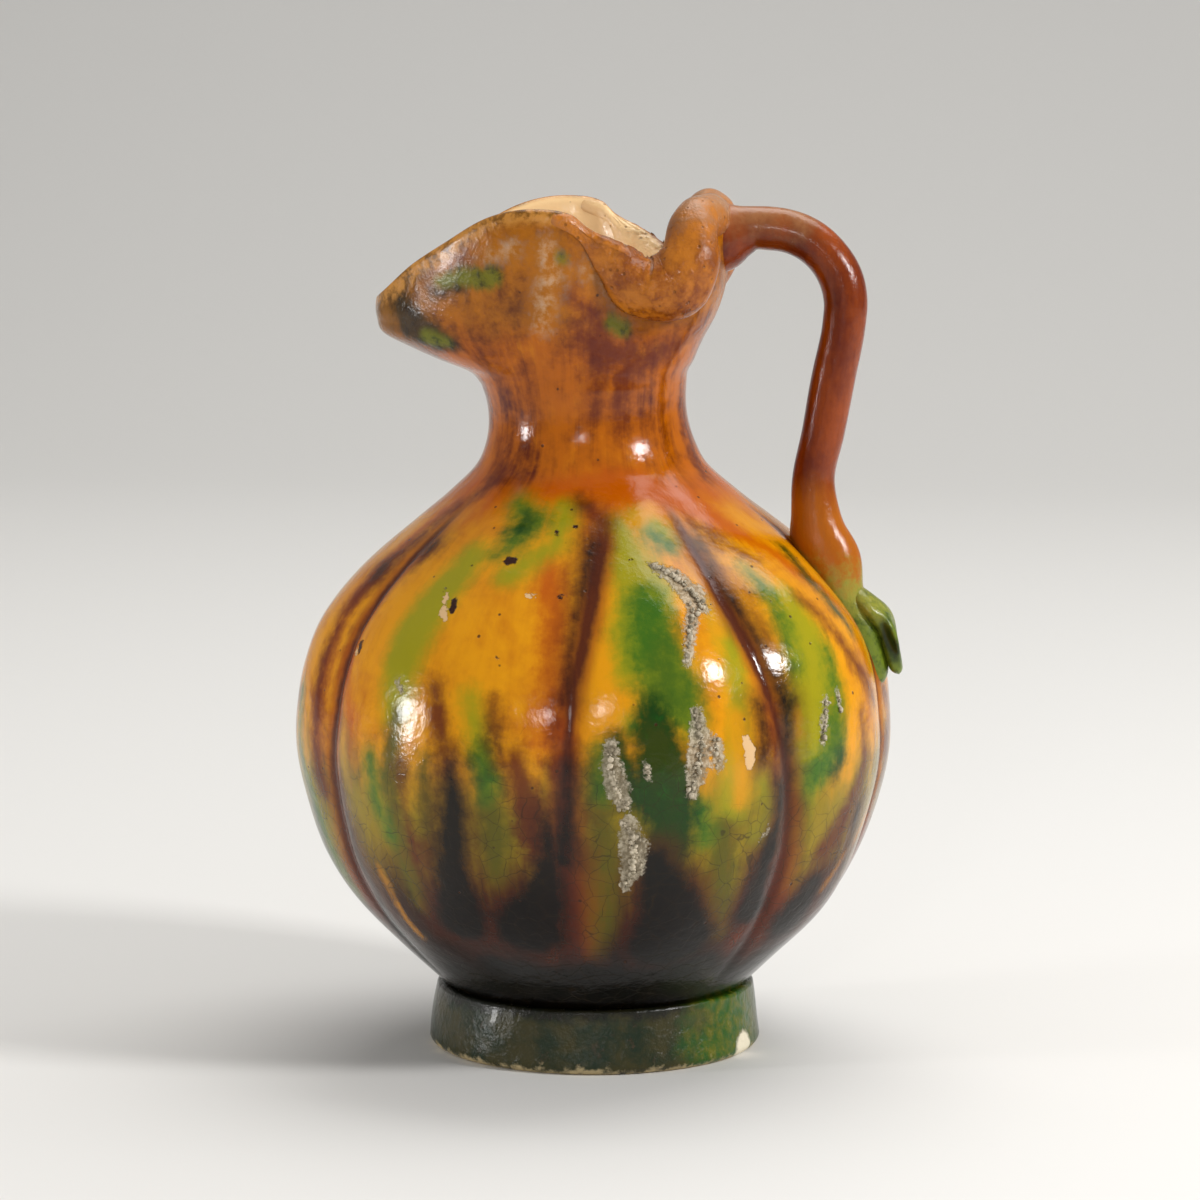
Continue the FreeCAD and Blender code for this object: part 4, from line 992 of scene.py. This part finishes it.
outer_corner = rounded_corner((FOOT_RIM - FOOT_ROUND * 1.1, FOOT_ROUND), FOOT_ROUND, -90, SPLAY_TURN)
inner_corner = rounded_corner((FOOT_BORE + FOOT_ROUND, FOOT_ROUND), FOOT_ROUND, 180, 270)
edge_corner = rounded_corner((FOOT_TOP - EDGE_ROUND, foot_top - 0.55), EDGE_ROUND, SPLAY_TURN, 90)
foot_profile = outer_corner + run_of(outer_corner[-1], edge_corner[0], 0.5)[1:]
foot_profile += edge_corner + run_of(edge_corner[-1], (FOOT_BORE, foot_top), 0.8)[1:]
foot_profile += run_of((FOOT_BORE, foot_top), inner_corner[0], 0.8) + inner_corner
foot_profile += run_of(inner_corner[-1], outer_corner[0], 0.6)[1:] + foot_profile[:1]
foot = spun("foot", foot_profile, 360)
foot_points = read_points(foot)
foot_turn = np.arctan2(foot_points[:, 1], foot_points[:, 0])
from_axis = np.hypot(foot_points[:, 0], foot_points[:, 1])
out_share = np.clip((from_axis - FOOT_BORE) / (FOOT_RIM - FOOT_BORE), 0, 1)
rise_share = np.clip(foot_points[:, 2] / foot_top, 0, 1)
foot_wave = hand_waves(foot_points * (1, 1, 0.6), 41, 26, 8)
bulge = out_share * (0.55 * foot_wave * np.sin(rise_share * math.pi) ** 0.5)
foot_points[:, 0] += np.cos(foot_turn) * bulge
foot_points[:, 1] += np.sin(foot_turn) * bulge
write_points(foot, foot_points)
foot.data.shade_smooth()
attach(foot, "root")
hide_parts("foot_ring")
JUG_PIECES.append(foot)
print("foot:", len(foot.data.polygons), "faces")

# %% [markdown]
# ## Crust
#
# Long burial left a pale crust in patches of the belly. It is made of small grains that stand on the glaze,
# scattered along the same strokes that colour the glaze under them.

# %% Scatter the grains
GRAINS_PER_AREA, SMALLEST_GRAIN, GRAIN_GROWTH, STANDS_OUT = 3.2, 0.13, 0.26, 0.12
dice = random.Random(7)
bpy.ops.object.select_all(action="DESELECT")
bpy.ops.mesh.primitive_ico_sphere_add(subdivisions=1, radius=1.0)
seed_grain = bpy.context.object
grain_corners = np.array([vert.co[:] for vert in seed_grain.data.vertices])
grain_faces = np.array([face.vertices[:] for face in seed_grain.data.polygons])
bpy.data.objects.remove(seed_grain)
grain_points, all_grain_faces = [], []
for run in placed["crust"]:
    for (start, wide), (end, narrow) in zip(run, run[1:]):
        for _ in range(int(np.linalg.norm(end - start) * (wide + narrow) * GRAINS_PER_AREA)):
            share = dice.random()
            reach = mixed(wide, narrow, share) * dice.gauss(0, 0.42)
            aim = mixed(start, end, share) + np.array([dice.gauss(0, 1) for _ in range(3)]) * abs(reach) * 0.6
            met, facing = jug_surface.find_nearest(Vector(aim * MM))[:2]
            size = SMALLEST_GRAIN + GRAIN_GROWTH * dice.random() ** 2
            place = np.array(met) / MM + np.array(facing) * size * STANDS_OUT
            stretch = np.array([0.7 + 0.6 * dice.random() for _ in range(3)])
            uneven = np.array([[dice.random()] for _ in grain_corners])
            ragged = grain_corners * (0.8 + 0.4 * uneven) * stretch * size
            all_grain_faces += (grain_faces + len(grain_points) * len(grain_corners)).tolist()
            grain_points.append(ragged + place)
grains = new_piece("crust_grains", np.concatenate(grain_points), faces=all_grain_faces)
grains.data.shade_smooth()
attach(grains, "root")
print("crust:", len(grain_points), "grains")

# %% [markdown]
# ## A small language for glazes
#
# A glaze is worked out from places in millimetres, soft steps, noise and the painted fields. `Flow` lets
# those values be added and multiplied like numbers, while it lays the shader nodes that do the same.

# %% Values that flow through a material
class Flow:
    """A value on its way through a material's nodes."""

    def __init__(self, tree, socket):
        self.tree, self.socket = tree, socket

    def node(self, kind, settings, values, out=0):
        """Any node: its settings, then a value or a link for each named or numbered socket."""
        made = self.tree.nodes.new(kind)
        for key, value in settings.items():
            setattr(made, key, value)
        for place, value in values.items():
            if isinstance(value, Flow):
                self.tree.links.new(value.socket, made.inputs[place])
            else:
                made.inputs[place].default_value = value
        return Flow(self.tree, made.outputs[out])

    def reckon(self, operation, *values):
        """One step of arithmetic."""
        return self.node("ShaderNodeMath", {"operation": operation}, dict(enumerate(values)))

    def __add__(self, other):
        return self.reckon("ADD", self, other)

    def __sub__(self, other):
        return self.reckon("SUBTRACT", self, other)

    def __rsub__(self, other):
        return self.reckon("SUBTRACT", other, self)

    def __mul__(self, other):
        return self.reckon("MULTIPLY", self, other)

    def __truediv__(self, other):
        return self.reckon("DIVIDE", self, other)

    __radd__, __rmul__ = __add__, __mul__

    def step(self, low, high, start=0.0, end=1.0):
        """A soft step from start to end while this value goes from low to high."""
        names = {"Value": self, "From Min": low, "From Max": high, "To Min": start, "To Max": end}
        return self.node("ShaderNodeMapRange", {"interpolation_type": "SMOOTHSTEP"}, names)

    def most(self, other):
        """The larger of two values."""
        return self.reckon("MAXIMUM", self, other)

    def on_vectors(self, operation, other, out=0):
        """One step of arithmetic on places."""
        return self.node("ShaderNodeVectorMath", {"operation": operation}, {0: self, 1: other}, out)

    def noise(self, size, detail=3.0, rough=0.55, warp=0.0):
        """Soft noise with features of a size in mm, about 0 and mostly within 1."""
        names = {"Vector": self, "Scale": 1 / size, "Detail": detail, "Roughness": rough, "Distortion": warp}
        return (self.node("ShaderNodeTexNoise", {}, names) - 0.5) * 4.4

    def cells(self, size, feature, out=0):
        """A web of cells of a size in mm: a distance, or with out=1 each cell's own colour."""
        names = {"Vector": self, "Scale": 1 / size}
        return self.node("ShaderNodeTexVoronoi", {"feature": feature}, names, out)


def srgb(red, green, blue):
    """A colour as it is seen, 0 to 255, as the light that a shader works with."""
    shares = [value / 255 for value in (red, green, blue)]
    return tuple(s / 12.92 if s <= 0.04045 else ((s + 0.055) / 1.055) ** 2.4 for s in shares) + (1.0,)


def blend(under, over, share):
    """One colour laid over another where share is 1."""
    return share.node("ShaderNodeMix", {"data_type": "RGBA"}, {0: share, 6: under, 7: over}, 2)


print("brick red as light:", [round(part, 3) for part in srgb(150, 62, 6)])


# %% A finish under way
class Finish:
    """A material under way: its colour so far, places in mm on the jug, and painted fields."""

    def __init__(self, name, ground):
        self.material = bpy.data.materials.new(name)
        self.material.use_nodes = True
        self.tree = self.material.node_tree
        self.tree.nodes.clear()
        self.colour = ground
        self.start = Flow(self.tree, None)
        in_mm = (1 / MM, 1 / MM, 1 / MM)
        self.place = self.start.node("ShaderNodeTexCoord", {}, {}, 3).on_vectors("MULTIPLY", in_mm)
        parts = self.tree.nodes.new("ShaderNodeSeparateXYZ")
        self.tree.links.new(self.place.socket, parts.inputs[0])
        self.along, self.across, self.height = [Flow(self.tree, parts.outputs[i]) for i in range(3)]

    def lay(self, colour, share):
        """Lays a colour over what is there, where share is 1."""
        self.colour = blend(self.colour, colour, share)

    def field(self, name):
        """A painted field of the piece."""
        return self.start.node("ShaderNodeAttribute", {"attribute_name": name}, {}, 2)

    def clouds(self):
        """Broad soft clouds and a fine mottle."""
        return self.place.noise(5.0, 4.0, 0.6), self.place.noise(1.3, 5.0, 0.65)

    def done(self, roughness, lumps, coat=0.1, bump=0.85):
        """Ends the material with a glassy surface; lumps are in mm."""
        lifted = self.start.node("ShaderNodeBump", {}, {"Height": lumps, "Distance": MM, "Strength": bump})
        names = {"Base Color": self.colour, "Roughness": roughness, "IOR": 1.34, "Normal": lifted}
        names |= {"Coat Weight": coat, "Coat Roughness": 0.04, "Coat IOR": 1.45}
        return self.end(names)

    def end(self, names):
        """Joins the finished surface to the material's output."""
        face = self.start.node("ShaderNodeBsdfPrincipled", {}, names)
        self.tree.links.new(face.socket, self.tree.nodes.new("ShaderNodeOutputMaterial").inputs[0])
        return self.material


print("finishes are laid coat over coat")

# %% [markdown]
# ## The splashed glaze
#
# One glaze covers the whole wall. Its ground is golden on the belly, orange on the shoulder and amber round
# the neck. The glaze ran while it was melted, so each colour is drawn out downwards: lime and green over the
# lobes, red-brown in the grooves, and near black above the foot, where everything ran together and where
# painted shade darkens the bottom.

# %% The potter's palette
GOLD, DEEP_GOLD, STRAW, HONEY = srgb(218, 146, 3), srgb(186, 106, 2), srgb(214, 142, 6), srgb(210, 130, 2)
ORANGE, AMBER, BURNT = srgb(182, 82, 0), srgb(176, 92, 0), srgb(78, 18, 1)
LIME, OLIVE, MOSS, GREEN = srgb(142, 142, 12), srgb(88, 82, 8), srgb(92, 118, 16), srgb(40, 92, 16)
PALE_OLIVE, DEEP_OLIVE, TAWNY = srgb(120, 112, 10), srgb(84, 88, 10), srgb(112, 82, 4)
BOTTLE, FERN, NIGHT, UMBER = srgb(0, 52, 3), srgb(8, 74, 6), srgb(6, 4, 3), srgb(44, 16, 4)
OXIDE, GROOVE_RED, RUST, SCORCH = srgb(88, 26, 6), srgb(70, 24, 12), srgb(150, 62, 6), srgb(78, 28, 5)
CREAM, PEACH, SAND, ROSY = srgb(244, 208, 154), srgb(222, 150, 96), srgb(196, 136, 60), srgb(222, 190, 158)
MOUTH_TAN, MOUTH_BROWN, BEAK_BROWN = srgb(166, 100, 10), srgb(92, 44, 6), srgb(104, 74, 14)
SOOT, PITCH, MOULD, DEEP_MOULD = srgb(46, 34, 8), srgb(12, 10, 5), srgb(104, 108, 12), srgb(44, 56, 10)
CRUST_PALE, CRUST_GREY, CLAY = srgb(196, 184, 162), srgb(132, 122, 102), srgb(214, 176, 128)
LIP_BROWN, SPOT, CRACK, PIT = srgb(112, 74, 16), srgb(58, 30, 6), srgb(40, 26, 5), srgb(46, 20, 10)
MEAN_RADIUS, RUN_SHARE = 32, 0.16
SPOT_CELL, CRACK_CELL = 2.4, 2.3
print("gold as light:", [round(part, 3) for part in GOLD])


# %% Wall glaze
def wall_glaze():
    """The splashed glaze of the pot's wall."""
    finish = Finish("splashed_glaze", GOLD)
    place, height, field, lay = finish.place, finish.height, finish.field, finish.lay
    squares = finish.along * finish.along + finish.across * finish.across
    radius = squares.reckon("SQRT", squares).most(1.0)
    # places round the pot, with their height made short so that noise on them runs down in streaks
    running = {0: finish.along / radius * MEAN_RADIUS, 1: finish.across / radius * MEAN_RADIUS}
    running[2] = height * RUN_SHARE
    streaks = place.node("ShaderNodeCombineXYZ", {}, running)
    long_streaks, fine_streaks = streaks.noise(5.0, 4.0, 0.6, 0.3), streaks.noise(1.6, 4.0, 0.6)
    cloud = place.noise(7.0, 4.0, 0.6, 0.4)
    mottle, grit = place.noise(1.6, 5.0, 0.65), place.noise(0.45, 3.0, 0.6)
    edge = mottle * 0.20 + cloud * 0.22 + fine_streaks * 0.14 + grit * 0.06

    def patch(name, low=-0.75, high=0.6):
        """A splash with a soft ragged edge."""
        return (field(name) + edge).step(low, high)

    # ground: golden belly, orange shoulder, amber neck, olive, and then near black where the glaze collected
    # low down, deepened by painted shade
    lay(DEEP_GOLD, (cloud * 0.5 + fine_streaks * 0.18 + mottle * 0.12 + 0.3).step(0.0, 1.1))
    lay(ORANGE, (height + cloud * 1.5).step(65.0, 72.0) * 0.85)
    neck_tone = blend(AMBER, BURNT, (long_streaks * 0.5 + cloud * 0.45 + mottle * 0.3).step(-0.4, 0.95))
    neck_tone = blend(neck_tone, HONEY, (cloud * -0.6 + fine_streaks * 0.3).step(0.1, 1.0) * 0.7)
    lay(neck_tone, (height + long_streaks * 1.5).step(70.0, 75.0))
    lay(ORANGE, patch("orange") * 0.85)
    olive_ground = blend(PALE_OLIVE, DEEP_OLIVE, (cloud * 0.5 + fine_streaks * 0.3 + 0.3).step(0.0, 1.0))
    lay(olive_ground, ((44 - height) / 8 + long_streaks * 0.45 + cloud * 0.3).step(0.0, 1.1) * 0.85)
    # darker towards the bottom: glaze that collected there, with painted shade of the underside
    pooled_and_shaded = ((30 - height) / 9 + long_streaks * 0.6 + fine_streaks * 0.2).step(-0.35, 1.1)
    lay(blend(OXIDE, UMBER, pooled_and_shaded), pooled_and_shaded)

    # splashes, from the light ones to the dark ones
    lay(LIME, patch("lime") * 0.9)
    olive_tone = blend(OLIVE, TAWNY, (cloud * 0.6 + fine_streaks * 0.5 + 0.3).step(0.0, 1.1))
    lay(olive_tone, patch("olive", -0.6, 0.5) * (height + mottle).step(9.0, 17.0))
    depth_of_green = field("green") * 0.5 + mottle * 0.45 + cloud * 0.4
    lay(blend(MOSS, GREEN, depth_of_green.step(-0.5, 0.75)), patch("green") * 0.94)
    # deep green glaze; under the handle's base it also carries painted shade of the gap
    lay(blend(BOTTLE, FERN, (mottle * 0.6 + cloud * 0.5).step(0.1, 1.0)), patch("bottle", -0.6, 0.5) * 0.96)
    lay(STRAW, patch("gold", -0.7, 0.4) * 0.75)
    # red-brown glaze streaks, and the dark red painted shadow under the fold of the rim
    lay(OXIDE, patch("red") * (cloud * 0.3 + mottle * 0.25 + 0.75).step(-0.1, 0.7) * 0.88)

    # the grooves: a red-brown line with a burnt halo, wider further down; then the near black runs, and the
    # near black bottom of dark glaze deepened by painted shade
    gap = field("groove_gap") + mottle * 0.25 + long_streaks * 0.40
    on_body = (height + cloud * 2.0).step(71.0, 64.0)
    lower = height.step(46.0, 18.0)
    lay(RUST, (gap / (2.6 + lower * 2.6)).step(1.0, 0.25) * on_body * 0.6)
    lay(GROOVE_RED, (gap / (0.95 + lower * 1.5)).step(1.15, 0.2) * on_body * 0.92)
    lay(SCORCH, patch("night", -1.7, 0.1) * 0.62)
    night = patch("night", -0.6, 0.6)
    lay(blend(UMBER, NIGHT, night), night * 0.97)
    # near black at the bottom of the bowl: dark glaze with painted shade of the underside
    lay(NIGHT, (height + long_streaks * 2.0).step(20.5, 12.0))

    # mouth: burnt beak with green, painted pale sheen, pale worn lip, creamy inside
    # with painted shade deeper down
    on_mouth = height.step(84.0, 88.0)
    mouth_tone = blend(MOUTH_TAN, MOUTH_BROWN, (cloud * 0.4 + mottle * 0.45 + 0.3).step(-0.2, 1.0))
    lay(mouth_tone, (height + cloud * 2.0).step(88.0, 93.0) * (1 - patch("red")) * 0.8)
    lay(BEAK_BROWN, (finish.along + cloud * 1.5).step(-16.0, -25.0) * on_mouth * 0.6)
    # pale streaks on the near wall and along the pinch crease: painted sheen
    pale_sheen = patch("pale_sheen", -0.9, 0.7) * (mottle + 0.8).step(0.2, 1.1) * 0.62
    lay(blend(SAND, ROSY, (mottle * 0.6 + 0.3).step(0, 1)), pale_sheen)
    # dark beak glaze, and painted shade in the hollow at the handle's root
    lay(blend(SOOT, PITCH, (mottle * 0.6 + 0.3).step(0, 1)), patch("beak_dark_and_root_shade", -0.8, 0.5) * 0.92)
    lay(blend(MOULD, DEEP_MOULD, (mottle + 0.2).step(0, 1)), patch("beak_green", -0.7, 0.4) * 0.9)
    lip_band = (field("under_rim") + mottle * 0.5 + cloud * 0.5).step(2.2, 0.6) * on_mouth
    lay(blend(SAND, LIP_BROWN, (mottle + cloud * 0.4 + 0.2).step(0, 0.9)), lip_band * 0.8)
    inner = field("inside").step(0.62, 0.95)
    inner_tone = blend(CREAM, PEACH, (cloud * 0.8 + mottle * 0.4 + (98.0 - height) / 10).step(0.1, 1.1))
    # the inside turns burnt further down: painted shade deeper in the neck
    lay(blend(inner_tone, BURNT, ((90.0 - height) / 8 + mottle * 0.4).step(0.0, 1.2)), inner)

    # specks, crazing, crust, chips and pits
    cell_draw = place.node("ShaderNodeSeparateColor", {}, {0: place.cells(SPOT_CELL, "F1", 1)})
    dark_spot = (place.cells(SPOT_CELL, "F1") + grit * 0.02).step(0.11, 0.05) * cell_draw.step(0.62, 0.70)
    lay(SPOT, dark_spot * 0.85)
    drift = place.node("ShaderNodeTexNoise", {}, {"Vector": place, "Scale": 0.4, "Detail": 2.0}, 1)
    crack_here = (cloud * 0.5 + (46.0 - height) / 20).step(0.1, 0.8) * (1 - inner)
    crack_web = place.on_vectors("ADD", drift).cells(CRACK_CELL, "DISTANCE_TO_EDGE")
    crack = crack_web.step(0.026, 0.005) * crack_here
    lay(CRACK, crack * 0.6)
    crust = (field("crust") + mottle * 0.35 + grit * 0.30).step(-0.10, 0.35)
    lay(blend(CRUST_GREY, CRUST_PALE, (grit * 0.5 + mottle * 0.4 + 0.4).step(0.1, 0.9)), crust * 0.85)
    bare = (field("bare") + mottle * 0.6 + grit * 0.45).step(-0.05, 0.15)
    lay(CLAY, bare)
    pit = (field("pit") + mottle * 0.4 + grit * 0.35).step(-0.15, 0.35)
    lay(PIT, pit)

    rough = 0.13 + mottle.step(0.2, 1.4) * 0.10 + crust * 0.6 + bare * 0.45 + lip_band * 0.12
    lumps = cloud * 0.05 + mottle * 0.018 + crust * (0.10 + grit * 0.06) - bare * 0.16 - pit * 0.35
    lumps = lumps - dark_spot * 0.05 - crack * 0.012 + on_mouth * (1 - inner) * mottle * 0.03
    return finish.done(rough, lumps, (1 - crust.most(bare)) * 0.1)


wall = wall_glaze()
print(wall.name, "has", len(wall.node_tree.nodes), "nodes")

# %% [markdown]
# The roll and the handle wear the neck's amber, darker and redder where the glaze ran thick, and paler on
# top, where the handle carries a painted reflection; the roll has painted shade underneath. The handle turns
# green where it meets the belly, and the leaf is wholly green.

# %% Roll and handle
def roll_glaze():
    """The rolled rim: amber, paler on top, with painted shade underneath."""
    finish = Finish("roll_glaze", srgb(182, 108, 28))
    height, lay = finish.height, finish.lay
    cloud, mottle = finish.clouds()
    lay(srgb(122, 58, 12), (cloud * 0.5 + mottle * 0.4 + 0.4).step(-0.1, 1.0))
    # paler towards the top
    lay(srgb(206, 160, 112), (cloud * 0.4 + mottle * 0.4 + (height - 99.0) / 8).step(0.2, 1.5) * 0.5)
    # darker underneath the overhanging roll: painted shade
    lay(srgb(96, 40, 10), (mottle * 0.8 + (95.0 - height) / 5).step(0.1, 1.2) * 0.7)
    inner_tone = blend(CREAM, PEACH, (cloud * 0.6 + mottle * 0.3 + (100.0 - height) / 10).step(0.0, 1.1))
    lay(inner_tone, finish.field("inside").step(0.05, 0.7))
    pits = finish.place.cells(1.3, "F1").step(0.20, 0.08)
    lay(srgb(92, 52, 18), pits * 0.5)
    rough = 0.2 + mottle.step(0.1, 1.2) * 0.15
    return finish.done(rough, cloud * 0.12 + mottle * 0.06 - pits * 0.12, bump=0.9)


def handle_glaze():
    """The pulled handle: burnt red, a painted reflection pale on top, running into green on the shoulder."""
    finish = Finish("pulled_handle_glaze", srgb(144, 62, 5))
    place, height, lay = finish.place, finish.height, finish.lay
    cloud = place.on_vectors("MULTIPLY", (1, 1, 0.25)).noise(4.5, 4.0, 0.6)
    mottle, grit = place.noise(1.4, 5.0, 0.65), place.noise(0.45)
    lay(srgb(88, 24, 3), (cloud * 0.5 + mottle * 0.15 + 0.45).step(-0.1, 1.0))
    # pale on the top run: painted reflection of the light above
    lay(srgb(190, 132, 82), ((height - 100.0) / 4 + cloud * 0.3 + mottle * 0.3).step(0.1, 1.7) * 0.6)
    lay(srgb(164, 88, 8), ((73.0 - height) / 6 + cloud * 0.5).step(0.0, 1.2))
    lay(srgb(142, 138, 52), ((63.0 - height) / 5 + mottle * 0.5).step(0.0, 1.2))
    leafward = ((59.0 - height) / 5 + mottle * 0.5 + cloud * 0.3).step(0.0, 1.2)
    lay(blend(srgb(104, 120, 30), srgb(34, 56, 14), (mottle * 0.7 + 0.3).step(0.1, 1.0)), leafward)
    lay(srgb(20, 34, 12), finish.field("hollow").step(0.15, 0.8) * 0.85)
    lay(srgb(158, 163, 100), (mottle * 0.8 + grit * 0.4).step(0.75, 1.3) * leafward * 0.7)
    rough = 0.18 + mottle.step(0.1, 1.3) * 0.12 + leafward * 0.12
    return finish.done(rough, cloud * 0.06 + mottle * 0.03)


handle_finish = handle_glaze()
FINISHES = {"rolled_rim": roll_glaze()}
FINISHES |= {name: handle_finish for name in ("root_press", "loop", "base_press", "tail", "leaf")}
print(handle_finish.name, "has", len(handle_finish.node_tree.nodes), "nodes")


# %% Foot and crust
def foot_glaze(chip_place):
    """The foot: thin dark green and brown, its resting edge worn to the clay, and one chip."""
    finish = Finish("dark_foot_glaze", srgb(58, 54, 26))
    height, lay = finish.height, finish.lay
    cloud, mottle = finish.clouds()
    lay(srgb(26, 40, 24), (cloud * 0.8 + 0.45).step(0.1, 0.9))
    lay(srgb(72, 48, 24), (mottle * 0.6 + cloud * 0.5).step(0.2, 1.0) * 0.7)
    # near black at the top of the foot, under the bowl: painted shade
    lay(srgb(12, 10, 7), (height + mottle * 0.8).step(6.0, 7.6) * 0.8)
    green_side = (finish.along + cloud * 2.0).step(11.0, 16.5) * (1 - finish.across.step(-8.0, 4.0)) * 0.75
    lay(blend(srgb(40, 92, 20), srgb(112, 112, 16), (mottle * 0.6 + 0.5).step(0.1, 1)), green_side)
    worn = ((1.5 - height) * 0.7 + mottle * 0.55 + cloud * 0.45).step(0.35, 1.0)
    lay(srgb(190, 170, 128), worn * 0.85)
    chipped = (finish.place.on_vectors("DISTANCE", tuple(chip_place), 1) + mottle * 0.35).step(2.3, 1.7)
    lay(srgb(232, 222, 196), chipped)
    bare = chipped.most(worn)
    rough = 0.22 + mottle.step(0.1, 1.2) * 0.15 + bare * 0.45
    return finish.done(rough, cloud * 0.10 + mottle * 0.05 - chipped * 0.25, (1 - bare) * 0.1, 0.9)


def grain_finish():
    """The burial crust: dull, pale grey and beige."""
    finish = Finish("burial_crust", CRUST_GREY)
    place = finish.place
    finish.lay(CRUST_PALE, (place.noise(0.8) * 0.7 + place.noise(3.0) * 0.4 + 0.5).step(0.1, 0.9))
    return finish.done(0.95, place.noise(0.2) * 0.01, 0.0, 0.3)


CHIP_PIXEL = (744, 1046)
FINISHES |= {"foot": foot_glaze(on_jug(*CHIP_PIXEL)), "crust_grains": grain_finish()}
for piece in JUG_PIECES + [grains]:
    piece.data.materials.clear()
    piece.data.materials.append(FINISHES.get(piece.name, wall))
    print(piece.name, "wears", piece.data.materials[0].name)

# %% [markdown]
# ## Floor, backdrop and light
#
# The jug stands on a plain pale sweep. A soft key light from the right, a strip from the left and a broad
# light overhead are placed where the photograph shows their reflections in the glaze.

# %% Floor and backdrop
BACK_AT, SWEEP_RISE, SWEEP_BEND, SWEEP_FRONT, SWEEP_WIDTH = 1200, 2200, 600, -3000, 6000
bend_at = BACK_AT - SWEEP_BEND
sweep_line = [(SWEEP_FRONT, 0), (bend_at, 0)]
for turn in np.linspace(0, math.pi / 2, 24)[1:]:
    sweep_line.append((bend_at + SWEEP_BEND * math.sin(turn), SWEEP_BEND - SWEEP_BEND * math.cos(turn)))
sweep_line.append((BACK_AT, SWEEP_RISE))
sweep_corners = [(side * SWEEP_WIDTH / 2, away, rise) for away, rise in sweep_line for side in (-1, 1)]
sweep_faces = [(2 * i, 2 * i + 1, 2 * i + 3, 2 * i + 2) for i in range(len(sweep_line) - 1)]
sweep = new_piece("sweep", sweep_corners, faces=sweep_faces)
sweep.data.shade_smooth()
pale_paper = Finish("pale_paper", srgb(226, 224, 220))
sweep.data.materials.append(pale_paper.end({"Base Color": pale_paper.colour, "Roughness": 0.9}))
print("sweep:", len(sweep_faces), "strips")


# %% Lights
LOOKS_AT = 55


def lamp(name, turn, rise, away, width, tall, power):
    """A soft rectangular light, placed by degrees to the right of the camera, degrees up, and mm away."""
    turn, rise = math.radians(turn) + CAMERA_TURN, math.radians(rise)
    level = math.cos(rise) * away
    place = Vector((math.sin(turn) * level, -math.cos(turn) * level, LOOKS_AT + math.sin(rise) * away))
    bpy.ops.object.select_all(action="DESELECT")
    bpy.ops.object.light_add(type="AREA", location=place * MM)
    light = bpy.context.object
    light.name = name
    light.data.shape = "RECTANGLE"
    light.data.size, light.data.size_y = width * MM, tall * MM
    light.data.energy = power
    light.rotation_euler = (place - Vector((0, 0, LOOKS_AT))).to_track_quat("Z", "Y").to_euler()


lamp("key", 63, 27, 620, 110, 110, 2.7)
lamp("left_strip", -76, 4, 600, 60, 100, 1.2)
lamp("front_card", -8, 12, 1100, 90, 90, 1.0)
lamp("overhead", 150, 66, 800, 800, 500, 4.4)
sky = bpy.data.worlds.new("room")
bpy.context.scene.world = sky
sky.use_nodes = True
sky.node_tree.nodes["Background"].inputs[0].default_value = (0.80, 0.80, 0.80, 1.0)
sky.node_tree.nodes["Background"].inputs[1].default_value = 0.44
bpy.context.scene.view_settings.view_transform = "Standard"
